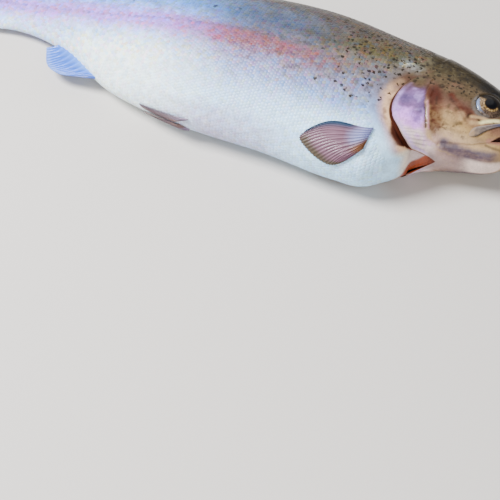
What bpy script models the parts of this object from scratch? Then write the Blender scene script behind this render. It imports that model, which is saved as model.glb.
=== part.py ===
"""A rainbow trout 450 mm long, caught and lying on its left side on a level surface.

The head points to +X and the back to +Y, so the fish's right side is up. A place on the fish is given as
(along, up, side) in shares of BODY_LENGTH: along runs from the snout (0) to the end of the tail stalk (1),
up runs towards the back, and side towards the fish's right. An angle round the body is 0 on the back,
90 degrees on the right side, 180 on the belly and 270 on the left side.
"""
import math

import bmesh
import bpy
import numpy as np

# Driving sizes, in metres.
TOTAL_LENGTH = 0.450
BODY_LENGTH = 0.390
SNOUT_X = TOTAL_LENGTH / 2
MIDDLE_Y = -0.0116
GAP = 0.0003
SLIT = 0.0010
WELD = 0.00003
TALL = 0.2

# The body's outline, as (along, value) stations.
BACK = [(0.00, 0.020), (0.04, 0.042), (0.09, 0.076), (0.16, 0.111), (0.26, 0.134), (0.38, 0.153),
        (0.54, 0.141), (0.70, 0.100), (0.83, 0.063), (0.93, 0.050), (1.00, 0.057)]
BELLY = [(0.00, 0.030), (0.05, 0.070), (0.10, 0.072), (0.16, 0.080), (0.20, 0.115), (0.235, 0.138),
         (0.28, 0.141), (0.40, 0.134), (0.56, 0.136), (0.70, 0.112), (0.82, 0.055), (0.93, 0.042),
         (1.00, 0.060)]
HALF_WIDTH = [(0.00, 0.030), (0.05, 0.039), (0.09, 0.050), (0.18, 0.064), (0.28, 0.071), (0.42, 0.075),
              (0.60, 0.066), (0.78, 0.041), (0.90, 0.022), (1.00, 0.011)]
MID_HEIGHT = [(0.00, 0.070), (0.20, 0.071), (0.42, 0.070), (0.60, 0.062), (0.80, 0.038), (1.00, 0.016)]
FULL_ABOVE = [(0.00, 2.2), (0.12, 2.5), (0.30, 2.1), (1.00, 2.0)]
FULL_BELOW = [(0.00, 2.2), (0.20, 2.4), (0.40, 2.15), (1.00, 2.0)]
NOSE_LENGTH = 0.05
LEAN = 0.10
BODY_BEND = 0.07
END_BEND = -0.08
BEND_MIDDLE = 0.45
HEAD_BEND = 0.5
HEAD_BEND_START = 0.24

# Outlines of the pieces in the side view, as (along, up) corners.
GILL_REAR = [(0.190, 0.048), (0.206, 0.031), (0.219, 0.013), (0.226, -0.010), (0.227, -0.030),
             (0.225, -0.041), (0.217, -0.056), (0.206, -0.066), (0.188, -0.079), (0.173, -0.082),
             (0.156, -0.077)]
GILL_FRONT = [(0.150, -0.066), (0.164, -0.052), (0.176, -0.036), (0.181, -0.020), (0.183, 0.000),
              (0.183, 0.015), (0.180, 0.030), (0.180, 0.042)]
THROAT = [(0.138, -0.074), (0.156, -0.0795), (0.173, -0.0845), (0.1885, -0.082), (0.192, -0.090),
          (0.189, -0.140), (0.136, -0.140)]
LOWER_JAW = [(0.0665, -0.0465), (0.100, -0.0545), (0.128, -0.0610), (0.140, -0.0690), (0.137, -0.0760),
             (0.134, -0.150), (-0.030, -0.150), (-0.030, -0.0120), (0.010, -0.0220), (0.054, -0.0428)]
MOUTH = [(0.0680, -0.0455), (0.060, -0.0520), (-0.030, -0.0300), (-0.030, -0.0040), (0.004, -0.0090),
         (0.058, -0.0370)]
MAXILLA_LINE = [(0.026, -0.003), (0.045, -0.0095), (0.064, -0.018), (0.080, -0.0285), (0.093, -0.039),
                (0.101, -0.047)]
MAXILLA_HALF = [0.0020, 0.0026, 0.0028, 0.0046, 0.0070, 0.0028]
STALK_START = 0.800
STALK_OVERLAP = 0.010
FRONT_END = -0.030

# How the body is divided: ring stations of the nose, the head and the flank, and of the inner cutters.
NOSE_RINGS = 7
NOSE_TIP_TURN = 0.10
HEAD_STATIONS = (0.065, 0.275, 15)
FLANK_STATIONS = (0.30, 1.0, 25)
CORE_STATIONS = (0.120, 0.250, 12)
LIP_STATIONS = (0.012, 0.112, 12)
LIP_OVERLAP = 0.002
PLATE_MIDDLE = 0.15

# Sizes of the small pieces, in metres unless they are shares.
GILL_COVER_THICK = 0.0025
POCKET_RISE = 0.004
THROAT_DEPTH = 0.0015
MAXILLA_THICK = 0.0012
EYE_PLACE = (0.0895, 0.0122)
EYE_RADIUS = 0.0091
EYE_HALF_DEPTH = 0.0038
EYE_SUNK = 0.0015
TONGUE_LINE = [(0.0665, -0.0485), (0.010, -0.0240)]
TONGUE_HALF = (0.0075, 0.0018, 0.0048)

RING_SIDES = 32
BALL_SIDES = 20
MITRE_LIMIT = 0.4
TANGENT_STEP = 0.002
SHARP_ANGLE = 40.0
FIN_ROWS = 5
WEB_SHARE = 0.65
FIN_LIFT = 1.5 * GAP
BOW_LAG = 1.6

# Each fin: its root line and the line of its ray tips, as (along, up) or (along, angle) stations.
DORSAL = {"root": (0.500, 0.622), "tips": [(0.566, 0.202), (0.606, 0.196), (0.644, 0.172), (0.668, 0.136)],
          "rays": 9, "thick": (0.0032, 0.0009), "sweep": 0.010}
ADIPOSE = {"root": (0.800, 0.826), "tips": [(0.836, 0.092), (0.849, 0.090), (0.855, 0.082), (0.846, 0.070)],
           "rays": 3, "thick": (0.0034, 0.0016), "sweep": 0.004}
ANAL = {"root": (0.722, 0.826), "tips": [(0.766, -0.106), (0.797, -0.109), (0.826, -0.097), (0.846, -0.064)],
        "rays": 8, "thick": (0.0030, 0.0009), "sweep": 0.006}
TAIL = {"root": (0.053, -0.056), "tips": [(1.1538, 0.130), (1.142, 0.064), (1.127, 0.002), (1.141, -0.066),
                                         (1.152, -0.132)],
        "rays": 11, "thick": (0.0044, 0.0010), "sweep": 0.0}
FOLDED = {
    "pectoral_fin_right": {
        "root": [(0.238, 123.5), (0.2415, 143.0)],
        "tips": [(0.338, 144.0), (0.345, 153.0), (0.330, 160.5), (0.308, 167.5), (0.286, 170.5),
                 (0.269, 164.5), (0.253, 152.5)],
        "rays": 7, "thick": (0.0020, 0.0009), "bow": -8.0},
    "pectoral_fin_left": {
        "root": [(0.234, 234.0), (0.243, 222.0)],
        "tips": [(0.344, 226.0), (0.335, 222.0), (0.318, 219.0), (0.296, 217.0), (0.266, 219.0)],
        "rays": 7, "thick": (0.0020, 0.0009), "bow": 0.0},
    "pelvic_fin_right": {
        "root": [(0.534, 173.0), (0.552, 180.0)],
        "tips": [(0.629, 177.0), (0.623, 181.0), (0.608, 184.0), (0.586, 185.0)],
        "rays": 5, "thick": (0.0020, 0.0009), "bow": 0.0},
    "pelvic_fin_left": {
        "root": [(0.534, 195.0), (0.552, 189.0)],
        "tips": [(0.627, 200.0), (0.621, 196.0), (0.607, 192.0), (0.586, 190.0)],
        "rays": 5, "thick": (0.0020, 0.0009), "bow": 0.0},
}

COLOURS = {
    "olive": ((0.23, 0.24, 0.15), 0.35), "silver": ((0.62, 0.60, 0.62), 0.30),
    "lilac": ((0.50, 0.42, 0.52), 0.28), "jaw_grey": ((0.60, 0.54, 0.55), 0.32),
    "flesh_red": ((0.42, 0.10, 0.06), 0.35), "eye_gold": ((0.10, 0.09, 0.06), 0.08),
    "fin_grey": ((0.42, 0.38, 0.38), 0.40), "tongue_pink": ((0.60, 0.33, 0.30), 0.35),
}


def clear_scene():
    """Take every object out of the scene."""
    for thing in list(bpy.data.objects):
        bpy.data.objects.remove(thing, do_unlink=True)


def material(name):
    """A wet, glossy Principled finish in one of the named colours."""
    found = bpy.data.materials.get(name)
    if found:
        return found
    colour, roughness = COLOURS[name]
    made = bpy.data.materials.new(name)
    made.use_nodes = True
    shader = made.node_tree.nodes["Principled BSDF"]
    shader.inputs["Base Color"].default_value = (*colour, 1.0)
    shader.inputs["Roughness"].default_value = roughness
    shader.inputs["Metallic"].default_value = 0.0
    return made


# ---------------------------------------------------------------- the body's shape

def smooth(stations, at):
    """A smooth curve through the stations: a cubic from each to the next, with slopes from both sides."""
    xs, ys = np.array(stations, float).T
    slope = np.gradient(ys, xs)
    at = np.clip(np.asarray(at, float), xs[0], xs[-1])
    i = np.clip(np.searchsorted(xs, at) - 1, 0, len(xs) - 2)
    step = xs[i + 1] - xs[i]
    t = (at - xs[i]) / step
    rise = (2 * t**3 - 3 * t**2 + 1) * ys[i] + (3 * t**2 - 2 * t**3) * ys[i + 1]
    return rise + step * ((t**3 - 2 * t**2 + t) * slope[i] + (t**3 - t**2) * slope[i + 1])


def spine(along):
    """How far the lying fish curves towards its back: a long bow, and the head lifted a little more."""
    away = along - BEND_MIDDLE
    bow = BODY_BEND * away**2 + END_BEND * away**2 * np.sign(away)
    return bow + HEAD_BEND * np.maximum(HEAD_BEND_START - along, 0)**2


def section(along, angle, out=0.0):
    """(up, side) on the body's surface, `out` metres off it: a superellipse, rounded off at the nose."""
    nose = np.sqrt(np.clip(1 - (1 - np.clip(along / NOSE_LENGTH, 0, 1))**2, 0, 1))
    off = out / BODY_LENGTH
    c = np.cos(angle)
    s = np.sin(angle)
    above = c > 0
    reach = np.where(above, smooth(BACK, along), smooth(BELLY, along)) * nose + off
    power = 2 / np.where(above, smooth(FULL_ABOVE, along), smooth(FULL_BELOW, along))
    width = smooth(HALF_WIDTH, along) * nose + off
    return reach * np.sign(c) * np.abs(c)**power, width * np.sign(s) * np.abs(s)**power


def place(along, up, side):
    """World places: the midplane lies MID_HEIGHT over the surface, and what would sink in is pressed flat."""
    along, up, side = np.broadcast_arrays(along, up, side)
    height = smooth(MID_HEIGHT, along) + side + LEAN * up
    x = SNOUT_X - along * BODY_LENGTH
    y = MIDDLE_Y + (up + spine(along)) * BODY_LENGTH
    return np.stack([x, y, np.maximum(height, 0) * BODY_LENGTH], -1)


# ---------------------------------------------------------------- mesh helpers

def add_object(name, verts, faces):
    """A closed mesh object with its faces turned outwards."""
    mesh = bpy.data.meshes.new(name)
    mesh.from_pydata([tuple(v) for v in verts], [], faces)
    shape = bmesh.new()
    shape.from_mesh(mesh)
    bmesh.ops.recalc_face_normals(shape, faces=shape.faces)
    shape.to_mesh(mesh)
    shape.free()
    thing = bpy.data.objects.new(name, mesh)
    bpy.context.collection.objects.link(thing)
    return thing


def barrel(name, stations, out=0.0):
    """The body between two stations as a closed solid: rings of the section joined, with flat ends."""
    angles = np.arange(RING_SIDES) * 2 * math.pi / RING_SIDES
    along, angle = np.meshgrid(stations, angles, indexing="ij")
    up, side = section(along, angle, out)
    verts = place(along, up, side).reshape(-1, 3)
    faces = [tuple(range(RING_SIDES)), tuple(range(len(verts) - RING_SIDES, len(verts)))]
    for ring in range(len(stations) - 1):
        for k in range(RING_SIDES):
            a = ring * RING_SIDES + k
            b = ring * RING_SIDES + (k + 1) % RING_SIDES
            faces.append((a, b, b + RING_SIDES, a + RING_SIDES))
    return add_object(name, verts, faces)


def prism(name, outline, grow=0.0, low=-TALL, high=TALL):
    """An outline in the side view, grown by `grow` metres, carried straight through the fish."""
    flat = np.array([place(a, u, 0.0)[:2] for a, u in outline])
    ahead = np.roll(flat, -1, axis=0) - flat
    turn = np.sum(flat[:, 0] * np.roll(flat[:, 1], -1) - np.roll(flat[:, 0], -1) * flat[:, 1])
    normal = np.stack([ahead[:, 1], -ahead[:, 0]], -1) * np.sign(turn)
    normal /= np.linalg.norm(normal, axis=1, keepdims=True)
    before = np.roll(normal, 1, axis=0)
    spread = 1 + np.sum(normal * before, axis=1, keepdims=True)
    flat = flat + grow * (normal + before) / np.maximum(spread, MITRE_LIMIT)
    count = len(flat)
    verts = [(x, y, z) for z in (low, high) for x, y in flat]
    faces = [tuple(range(count)), tuple(range(count, 2 * count))]
    faces += [(k, (k + 1) % count, count + (k + 1) % count, count + k) for k in range(count)]
    return add_object(name, verts, faces)


def combine(target, cutter, operation):
    """Apply an exact Boolean to the target, weld the slivers it leaves, and keep the cutter."""
    cutter.hide_render = True
    cutter.display_type = "WIRE"
    step = target.modifiers.new(operation, "BOOLEAN")
    step.operation = operation
    step.solver = "EXACT"
    step.object = cutter
    graph = bpy.context.evaluated_depsgraph_get()
    result = bpy.data.meshes.new_from_object(target.evaluated_get(graph))
    target.modifiers.clear()
    target.data = result
    shape = bmesh.new()
    shape.from_mesh(result)
    bmesh.ops.remove_doubles(shape, verts=shape.verts, dist=WELD)
    bmesh.ops.dissolve_degenerate(shape, edges=shape.edges, dist=WELD)
    shape.to_mesh(result)
    shape.free()


def drop(*things):
    """Remove helper objects once their cuts are made."""
    for thing in things:
        bpy.data.objects.remove(thing, do_unlink=True)


def cut_with(target, cutter, operation="DIFFERENCE"):
    """Apply the cutter and remove it."""
    combine(target, cutter, operation)
    drop(cutter)


def copy_of(source, name):
    """A second object with its own copy of a mesh."""
    twin = source.copy()
    twin.data = source.data.copy()
    twin.name = name
    bpy.context.collection.objects.link(twin)
    return twin


def ellipsoid(name, centre, half, axes):
    """A ball squashed to three half sizes along three axes, about a world point."""
    shape = bmesh.new()
    bmesh.ops.create_uvsphere(shape, u_segments=BALL_SIDES, v_segments=BALL_SIDES // 2, radius=1.0)
    ball = np.array([tuple(v.co) for v in shape.verts])
    faces = [tuple(v.index for v in f.verts) for f in shape.faces]
    shape.free()
    return add_object(name, centre + (ball * half) @ np.array(axes), faces)


# ---------------------------------------------------------------- the body's pieces

def body_stations():
    """Ring stations: close together on the rounded nose, wider along the flank."""
    nose = NOSE_LENGTH * (1 - np.cos(np.linspace(NOSE_TIP_TURN, math.pi / 2, NOSE_RINGS)))
    return np.concatenate([nose, np.linspace(*HEAD_STATIONS), np.linspace(*FLANK_STATIONS)])


def trunk_outline():
    """Everything behind the gill covers and the throat, as far as the tail stalk."""
    nape = [(0.196, TALL), (0.196, 0.062)]
    breast = [(0.1905, -0.080), (0.193, -0.090), (0.190, -TALL)]
    return nape + GILL_REAR[1:8] + breast + [(STALK_START, -TALL), (STALK_START, TALL)]


def stalk_outline(start):
    """Everything behind `start`, past the end of the tail fin."""
    return [(start, TALL), (start, -TALL), (1 + TALL, -TALL), (1 + TALL, TALL)]


def gill_outline():
    """The gill cover: its free rear edge, and its front edge along the bone of the cheek."""
    return GILL_REAR + GILL_FRONT


def maxilla_outline():
    """A slender plate about a bent line, narrow at the front and round at the rear."""
    line = np.array(MAXILLA_LINE)
    ahead = np.gradient(line, axis=0)
    across = np.stack([-ahead[:, 1], ahead[:, 0]], -1)
    across *= (np.array(MAXILLA_HALF) / np.linalg.norm(across, axis=1))[:, None]
    return [tuple(p) for p in line + across] + [tuple(p) for p in (line - across)[::-1]]


def split_sides(solid, name):
    """Keep the right half and the left half of a pair of plates as two objects."""
    middle = smooth(MID_HEIGHT, PLATE_MIDDLE) * BODY_LENGTH
    square = [(FRONT_END, -TALL), (HEAD_STATIONS[1], -TALL), (HEAD_STATIONS[1], TALL), (FRONT_END, TALL)]
    pieces = []
    for suffix, low, high in (("right", middle, TALL), ("left", -TALL, middle)):
        piece = copy_of(solid, f"{name}_{suffix}")
        cut_with(piece, prism("half", square, low=low, high=high), "INTERSECT")
        pieces.append(piece)
    drop(solid)
    return pieces


def surface_frame(along, angle):
    """A point on the body with its unit outward normal and two tangents, from small steps on the surface."""
    step = TANGENT_STEP
    here, ahead, behind, over, under = [
        place(a, *section(np.array(a), np.array(b)))
        for a, b in ((along, angle), (along - step, angle), (along + step, angle),
                     (along, angle - step), (along, angle + step))]
    forward = (ahead - behind) / np.linalg.norm(ahead - behind)
    normal = np.cross(over - under, forward)
    normal *= np.sign(normal @ (here - place(along, 0.0, 0.0))) / np.linalg.norm(normal)
    return here, normal, forward, np.cross(normal, forward)


def eye_parts(grow=0.0):
    """The two eyes: flattened balls facing out of the head, sunk until only the cap shows."""
    along, up = EYE_PLACE
    power = 2 / float(smooth(FULL_ABOVE, along))
    angle = math.acos((up / float(smooth(BACK, along)))**(1 / power))
    eyes = []
    for name, sign in (("right", 1), ("left", -1)):
        here, normal, forward, across = surface_frame(along, sign * angle)
        half = np.array([EYE_RADIUS, EYE_RADIUS, EYE_HALF_DEPTH]) + grow
        eyes.append(ellipsoid(f"eye_{name}", here - EYE_SUNK * normal, half, (forward, across, normal)))
    return eyes


def tongue_part(grow=0.0):
    """A flat tongue on the floor of the mouth, long along the jaw's upper edge."""
    rear, front = [place(a, u, 0.0) for a, u in TONGUE_LINE]
    forward = (front - rear) / np.linalg.norm(front - rear)
    side = np.array([0.0, 0.0, 1.0])
    axes = (forward, np.cross(side, forward), side)
    return ellipsoid("tongue", (rear + front) / 2, np.array(TONGUE_HALF) + grow, axes)


def body_pieces():
    """Model the body whole, then part it: each piece is the body inside its own outline."""
    body = barrel("body", body_stations())
    core_stations = np.linspace(*CORE_STATIONS)
    pieces = {}

    trunk = copy_of(body, "trunk")
    cut_with(trunk, prism("cutter", trunk_outline()), "INTERSECT")
    pieces["trunk"] = (trunk, "silver")

    stalk = copy_of(body, "tail_stalk")
    ahead = [(STALK_START, TALL), (STALK_START, -TALL), (FRONT_END, -TALL), (FRONT_END, TALL)]
    cut_with(stalk, prism("cutter", ahead, GAP))
    pieces["tail_stalk"] = (stalk, "silver")

    covers = copy_of(body, "gill_cover")
    cut_with(covers, prism("cutter", gill_outline()), "INTERSECT")
    cut_with(covers, barrel("cutter", core_stations, -GILL_COVER_THICK))
    for cover in split_sides(covers, "gill_cover"):
        pieces[cover.name] = (cover, "lilac")

    throat = barrel("throat", core_stations, -THROAT_DEPTH)
    cut_with(throat, prism("cutter", THROAT), "INTERSECT")
    pieces["throat"] = (throat, "flesh_red")

    jaw = copy_of(body, "lower_jaw")
    cut_with(jaw, prism("cutter", LOWER_JAW), "INTERSECT")
    cut_with(jaw, tongue_part(GAP))
    pieces["lower_jaw"] = (jaw, "jaw_grey")

    head = copy_of(body, "head")
    for socket in eye_parts(GAP):
        cut_with(head, socket)
    cut_with(head, prism("cutter", trunk_outline(), SLIT))
    cut_with(head, prism("cutter", stalk_outline(STALK_START - STALK_OVERLAP)))
    cut_with(head, prism("cutter", THROAT, GAP))
    cut_with(head, prism("cutter", LOWER_JAW, GAP))
    cut_with(head, prism("cutter", MOUTH))
    pocket = barrel("pocket", core_stations, POCKET_RISE)
    cut_with(pocket, barrel("cutter", core_stations, -GILL_COVER_THICK - GAP))
    cut_with(pocket, prism("cutter", gill_outline(), GAP), "INTERSECT")
    cut_with(head, pocket)
    pieces["head"] = (head, "olive")

    front, rear, rings = LIP_STATIONS
    plates = barrel("maxilla", np.linspace(front, rear, rings), GAP + MAXILLA_THICK)
    cut_with(plates, barrel("cutter", np.linspace(front - LIP_OVERLAP, rear + LIP_OVERLAP, rings + 1), GAP))
    cut_with(plates, prism("cutter", maxilla_outline()), "INTERSECT")
    for plate in split_sides(plates, "maxilla"):
        pieces[plate.name] = (plate, "jaw_grey")

    for eye in eye_parts():
        pieces[eye.name] = (eye, "eye_gold")
    tongue = tongue_part()
    pieces["tongue"] = (tongue, "tongue_pink")
    drop(body)
    return pieces


# ---------------------------------------------------------------- the fins

def two_sided(name, near, far):
    """A closed plate between two grids of points that share their rows and columns."""
    columns, rows, _ = near.shape
    verts = np.concatenate([near.reshape(-1, 3), far.reshape(-1, 3)])
    back = columns * rows
    faces = []
    for i in range(columns - 1):
        for j in range(rows - 1):
            a = i * rows + j
            b = a + rows
            faces.append((a, b, b + 1, a + 1))
            faces.append((back + a, back + a + 1, back + b + 1, back + b))
    rim = [i * rows for i in range(columns)]
    rim += [(columns - 1) * rows + j for j in range(1, rows)]
    rim += [i * rows + rows - 1 for i in range(columns - 2, -1, -1)]
    rim += [j for j in range(rows - 2, 0, -1)]
    for a, b in zip(rim, rim[1:] + rim[:1]):
        faces.append((a, b, back + b, back + a))
    return add_object(name, verts, faces)


def fan(spec):
    """Ray grid of a fin: u runs from its first ray to its last, t from root to tip; webs are thinner."""
    u = np.linspace(0, 1, 2 * spec["rays"] - 1)[:, None]
    t = np.linspace(0, 1, FIN_ROWS)[None, :]
    web = np.where(np.arange(len(u)) % 2 == 1, WEB_SHARE, 1.0)[:, None]
    root, edge = spec["thick"]
    half = 0.5 * (root + (edge - root) * t**0.7) * (web + (1 - web) * (1 - t)**2)
    places = np.linspace(0, 1, len(spec["tips"]))
    tip = [smooth(list(zip(places, [p[k] for p in spec["tips"]])), u) for k in (0, 1)]
    return u, t, half, tip


def upright_fin(name, spec, edge_line, sign):
    """A fin standing on the body's edge in the midplane, its rays swept back towards their tips."""
    u, t, half, tip = fan(spec)
    start, end = spec["root"]
    root_along = start + (end - start) * u
    root_up = sign * (smooth(edge_line, root_along) + GAP / BODY_LENGTH)
    along = root_along + (tip[0] - root_along) * t - spec["sweep"] * np.sin(math.pi * t)
    up = root_up + (tip[1] - root_up) * t
    side = half / BODY_LENGTH
    return two_sided(name, place(along, up, side), place(along, up, -side))


def tail_fin():
    """The tail fan, sinking from the middle of the stalk to lie flat on the surface at its edge."""
    u, t, half, tip = fan(TAIL)
    top, bottom = TAIL["root"]
    root_up = top + (bottom - top) * u
    root_along = 1.0 + GAP / BODY_LENGTH
    along = root_along + (tip[0] - root_along) * t
    up = root_up + (tip[1] - root_up) * t
    middle = smooth(MID_HEIGHT, 1.0)
    thick = half / BODY_LENGTH
    height = thick + np.maximum(middle + LEAN * root_up - thick, 0) * (1 - t)**2
    side = height - middle - LEAN * up
    return two_sided("tail_fin", place(along, up, side + thick), place(along, up, side - thick))


def folded_fin(name, spec):
    """A fin folded back against the body: the ray grid laid on the surface, just off it."""
    u, t, half, tip = fan(spec)
    (along_a, angle_a), (along_b, angle_b) = spec["root"]
    root_along = along_a + (along_b - along_a) * u
    root_angle = angle_a + (angle_b - angle_a) * u
    along = root_along + (tip[0] - root_along) * t
    angle = root_angle + (tip[1] - root_angle) * t + spec["bow"] * (1 - u) * np.sin(math.pi * t**BOW_LAG)
    near = place(along, *section(along, np.radians(angle), FIN_LIFT))
    far = place(along, *section(along, np.radians(angle), FIN_LIFT + 2 * half))
    return two_sided(name, near, far)


def fins():
    """The eight fins by name."""
    made = {
        "dorsal_fin": upright_fin("dorsal_fin", DORSAL, BACK, 1),
        "adipose_fin": upright_fin("adipose_fin", ADIPOSE, BACK, 1),
        "anal_fin": upright_fin("anal_fin", ANAL, BELLY, -1),
        "tail_fin": tail_fin(),
    }
    made.update({name: folded_fin(name, spec) for name, spec in FOLDED.items()})
    return {name: (fin, "fin_grey") for name, fin in made.items()}


def finish(thing, colour, parent):
    """Give a piece its material, smooth shading with sharp edges, and its parent."""
    thing.data.materials.clear()
    thing.data.materials.append(material(colour))
    thing.data.shade_smooth()
    thing.data.set_sharp_from_angle(angle=math.radians(SHARP_ANGLE))
    thing.parent = parent


def main():
    clear_scene()
    trout = bpy.data.objects.new("trout", None)
    bpy.context.collection.objects.link(trout)
    pieces = body_pieces()
    pieces.update(fins())
    for thing, colour in pieces.values():
        finish(thing, colour, trout)


main()
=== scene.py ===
"""The looks of a life-size rainbow trout, caught and lying on its left side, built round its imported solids.

The head points to +X and the back to +Y, so the fish's right side is up. A place on the fish is (along, up,
side) in shares of BODY_LENGTH: along runs from the snout (0) to the end of the tail stalk (1), up towards the
back, side towards the fish's right. An angle round the body is 0 on the back, 90 degrees on the right side,
180 on the belly and 270 on the left side.
"""

import math

import bmesh
import bpy
import numpy as np
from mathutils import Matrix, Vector


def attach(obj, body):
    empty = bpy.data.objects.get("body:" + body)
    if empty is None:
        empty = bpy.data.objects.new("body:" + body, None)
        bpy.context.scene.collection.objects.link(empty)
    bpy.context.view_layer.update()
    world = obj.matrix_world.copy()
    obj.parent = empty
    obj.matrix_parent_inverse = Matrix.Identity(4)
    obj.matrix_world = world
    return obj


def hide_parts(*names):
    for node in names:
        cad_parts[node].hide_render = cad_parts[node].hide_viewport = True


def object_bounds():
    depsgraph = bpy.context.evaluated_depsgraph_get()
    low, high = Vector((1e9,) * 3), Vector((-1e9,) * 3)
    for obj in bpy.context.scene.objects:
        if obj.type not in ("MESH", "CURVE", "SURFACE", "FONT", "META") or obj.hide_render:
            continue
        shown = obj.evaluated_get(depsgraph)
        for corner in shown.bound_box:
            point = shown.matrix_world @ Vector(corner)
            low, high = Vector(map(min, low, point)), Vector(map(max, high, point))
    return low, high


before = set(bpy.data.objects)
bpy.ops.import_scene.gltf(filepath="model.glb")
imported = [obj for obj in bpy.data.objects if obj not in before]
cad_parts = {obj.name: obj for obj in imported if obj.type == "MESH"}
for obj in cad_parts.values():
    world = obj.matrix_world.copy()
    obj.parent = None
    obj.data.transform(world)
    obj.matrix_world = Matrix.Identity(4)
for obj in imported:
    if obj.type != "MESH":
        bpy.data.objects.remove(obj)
cad_low, cad_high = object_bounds()

# ---------------------------------------------------------------- sizes, the same as the solids'

TOTAL_LENGTH = 0.450
BODY_LENGTH = 0.390
SNOUT_X = (cad_low.x + cad_high.x + TOTAL_LENGTH) / 2
MIDDLE_Y = -0.0116
GAP = 0.0003

BACK = [(0.00, 0.020), (0.04, 0.042), (0.09, 0.076), (0.16, 0.111), (0.26, 0.134), (0.38, 0.153),
        (0.54, 0.141), (0.70, 0.100), (0.83, 0.063), (0.93, 0.050), (1.00, 0.057)]
BELLY = [(0.00, 0.030), (0.05, 0.070), (0.10, 0.072), (0.16, 0.080), (0.20, 0.115), (0.235, 0.138),
         (0.28, 0.141), (0.40, 0.134), (0.56, 0.136), (0.70, 0.112), (0.82, 0.055), (0.93, 0.042),
         (1.00, 0.060)]
HALF_WIDTH = [(0.00, 0.030), (0.05, 0.039), (0.09, 0.050), (0.18, 0.064), (0.28, 0.071), (0.42, 0.075),
              (0.60, 0.066), (0.78, 0.041), (0.90, 0.022), (1.00, 0.011)]
MID_HEIGHT = [(0.00, 0.070), (0.20, 0.071), (0.42, 0.070), (0.60, 0.062), (0.80, 0.038), (1.00, 0.016)]
FULL_ABOVE = [(0.00, 2.2), (0.12, 2.5), (0.30, 2.1), (1.00, 2.0)]
FULL_BELOW = [(0.00, 2.2), (0.20, 2.4), (0.40, 2.15), (1.00, 2.0)]
NOSE_LENGTH = 0.05
LEAN = 0.10
BODY_BEND = 0.07
END_BEND = -0.08
BEND_MIDDLE = 0.45
HEAD_BEND = 0.5
HEAD_BEND_START = 0.24

EYE_PLACE = (0.0895, 0.0122)
EYE_RADIUS = 0.0091
EYE_HALF_DEPTH = 0.0038
EYE_SUNK = 0.0015
TONGUE_LINE = [(0.0665, -0.0485), (0.010, -0.0240)]
TONGUE_HALF = (0.0075, 0.0018, 0.0048)
MAXILLA_LINE = [(0.026, -0.003), (0.045, -0.0095), (0.064, -0.018), (0.080, -0.0285), (0.093, -0.039),
                (0.101, -0.047)]
MAXILLA_HALF = [0.0020, 0.0026, 0.0028, 0.0046, 0.0070, 0.0028]
MAXILLA_THICK = 0.0012

DORSAL = {"root": (0.500, 0.622), "tips": [(0.566, 0.202), (0.606, 0.196), (0.644, 0.172), (0.668, 0.136)],
          "rays": 11, "thick": (0.0032, 0.0009), "sweep": 0.010}
ADIPOSE = {"root": (0.800, 0.826), "tips": [(0.836, 0.092), (0.849, 0.090), (0.855, 0.082), (0.846, 0.070)],
           "rays": 3, "thick": (0.0034, 0.0016), "sweep": 0.004}
ANAL = {"root": (0.722, 0.826), "tips": [(0.766, -0.106), (0.797, -0.109), (0.826, -0.097), (0.846, -0.064)],
        "rays": 10, "thick": (0.0030, 0.0009), "sweep": 0.006}
TAIL = {"root": (0.053, -0.056), "tips": [(1.1538, 0.130), (1.142, 0.064), (1.127, 0.002), (1.141, -0.066),
                                         (1.152, -0.132)],
        "rays": 19, "thick": (0.0044, 0.0010), "sweep": 0.0}
PECTORAL_RIGHT = {"root": [(0.238, 123.5), (0.2415, 143.0)],
                  "tips": [(0.338, 144.0), (0.345, 153.0), (0.330, 160.5), (0.308, 167.5), (0.286, 170.5),
                           (0.269, 164.5), (0.253, 152.5)],
                  "rays": 13, "thick": (0.0020, 0.0009), "bow": -8.0}
PECTORAL_LEFT = {"root": [(0.234, 234.0), (0.243, 222.0)],
                 "tips": [(0.344, 226.0), (0.335, 222.0), (0.318, 219.0), (0.296, 217.0), (0.266, 219.0)],
                 "rays": 13, "thick": (0.0020, 0.0009), "bow": 0.0}
PELVIC_RIGHT = {"root": [(0.534, 173.0), (0.552, 180.0)],
                "tips": [(0.629, 177.0), (0.623, 181.0), (0.608, 184.0), (0.586, 185.0)],
                "rays": 9, "thick": (0.0020, 0.0009), "bow": 0.0}
PELVIC_LEFT = {"root": [(0.534, 195.0), (0.552, 189.0)],
               "tips": [(0.627, 200.0), (0.621, 196.0), (0.607, 192.0), (0.586, 190.0)],
               "rays": 9, "thick": (0.0020, 0.0009), "bow": 0.0}

# ---------------------------------------------------------------- sizes of the visual surface

HALF_COLUMNS = 180          # grid columns from the back to the belly
CORNER_ALONG = 0.0665       # the corner of the mouth
CORNER_COLUMN = 128
UPPER_ROWS = 74
LOWER_ROWS = 44
CHEEK_ROWS = 98
NAPE_ROWS = 40
NAPE_SHARE = 0.10
FLANK_ROWS = 36
UPPER_LIP = [(-0.030, -0.0040), (0.004, -0.0090), (0.058, -0.0370), (0.0665, -0.0464)]
LOWER_LIP = [(-0.030, -0.0120), (0.010, -0.0220), (0.054, -0.0428), (0.0665, -0.0464)]
LIP_ROLL = 0.0007
THROAT_END = (0.088, -0.050, 0.0)
HEAD_DEPTH = 0.0001         # how far the bare head lies under the solids' surface, in metres
COAT_DEPTH = 0.0005         # the same under the scales
CLEAR = 0.00003
WELD = 1e-6                 # points closer than this are one point
TINY = 1e-12                # keeps a division from failing
TAIL_FLESH = 0.030          # how far the stalk's flesh reaches into the tail fin
FIN_DROP = 0.142            # over this length the tail fin comes down to the surface
SOCKET_DEPTH = 0.0034
BROW_HEIGHT = 0.0004        # the raised ring round the eye socket

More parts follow.
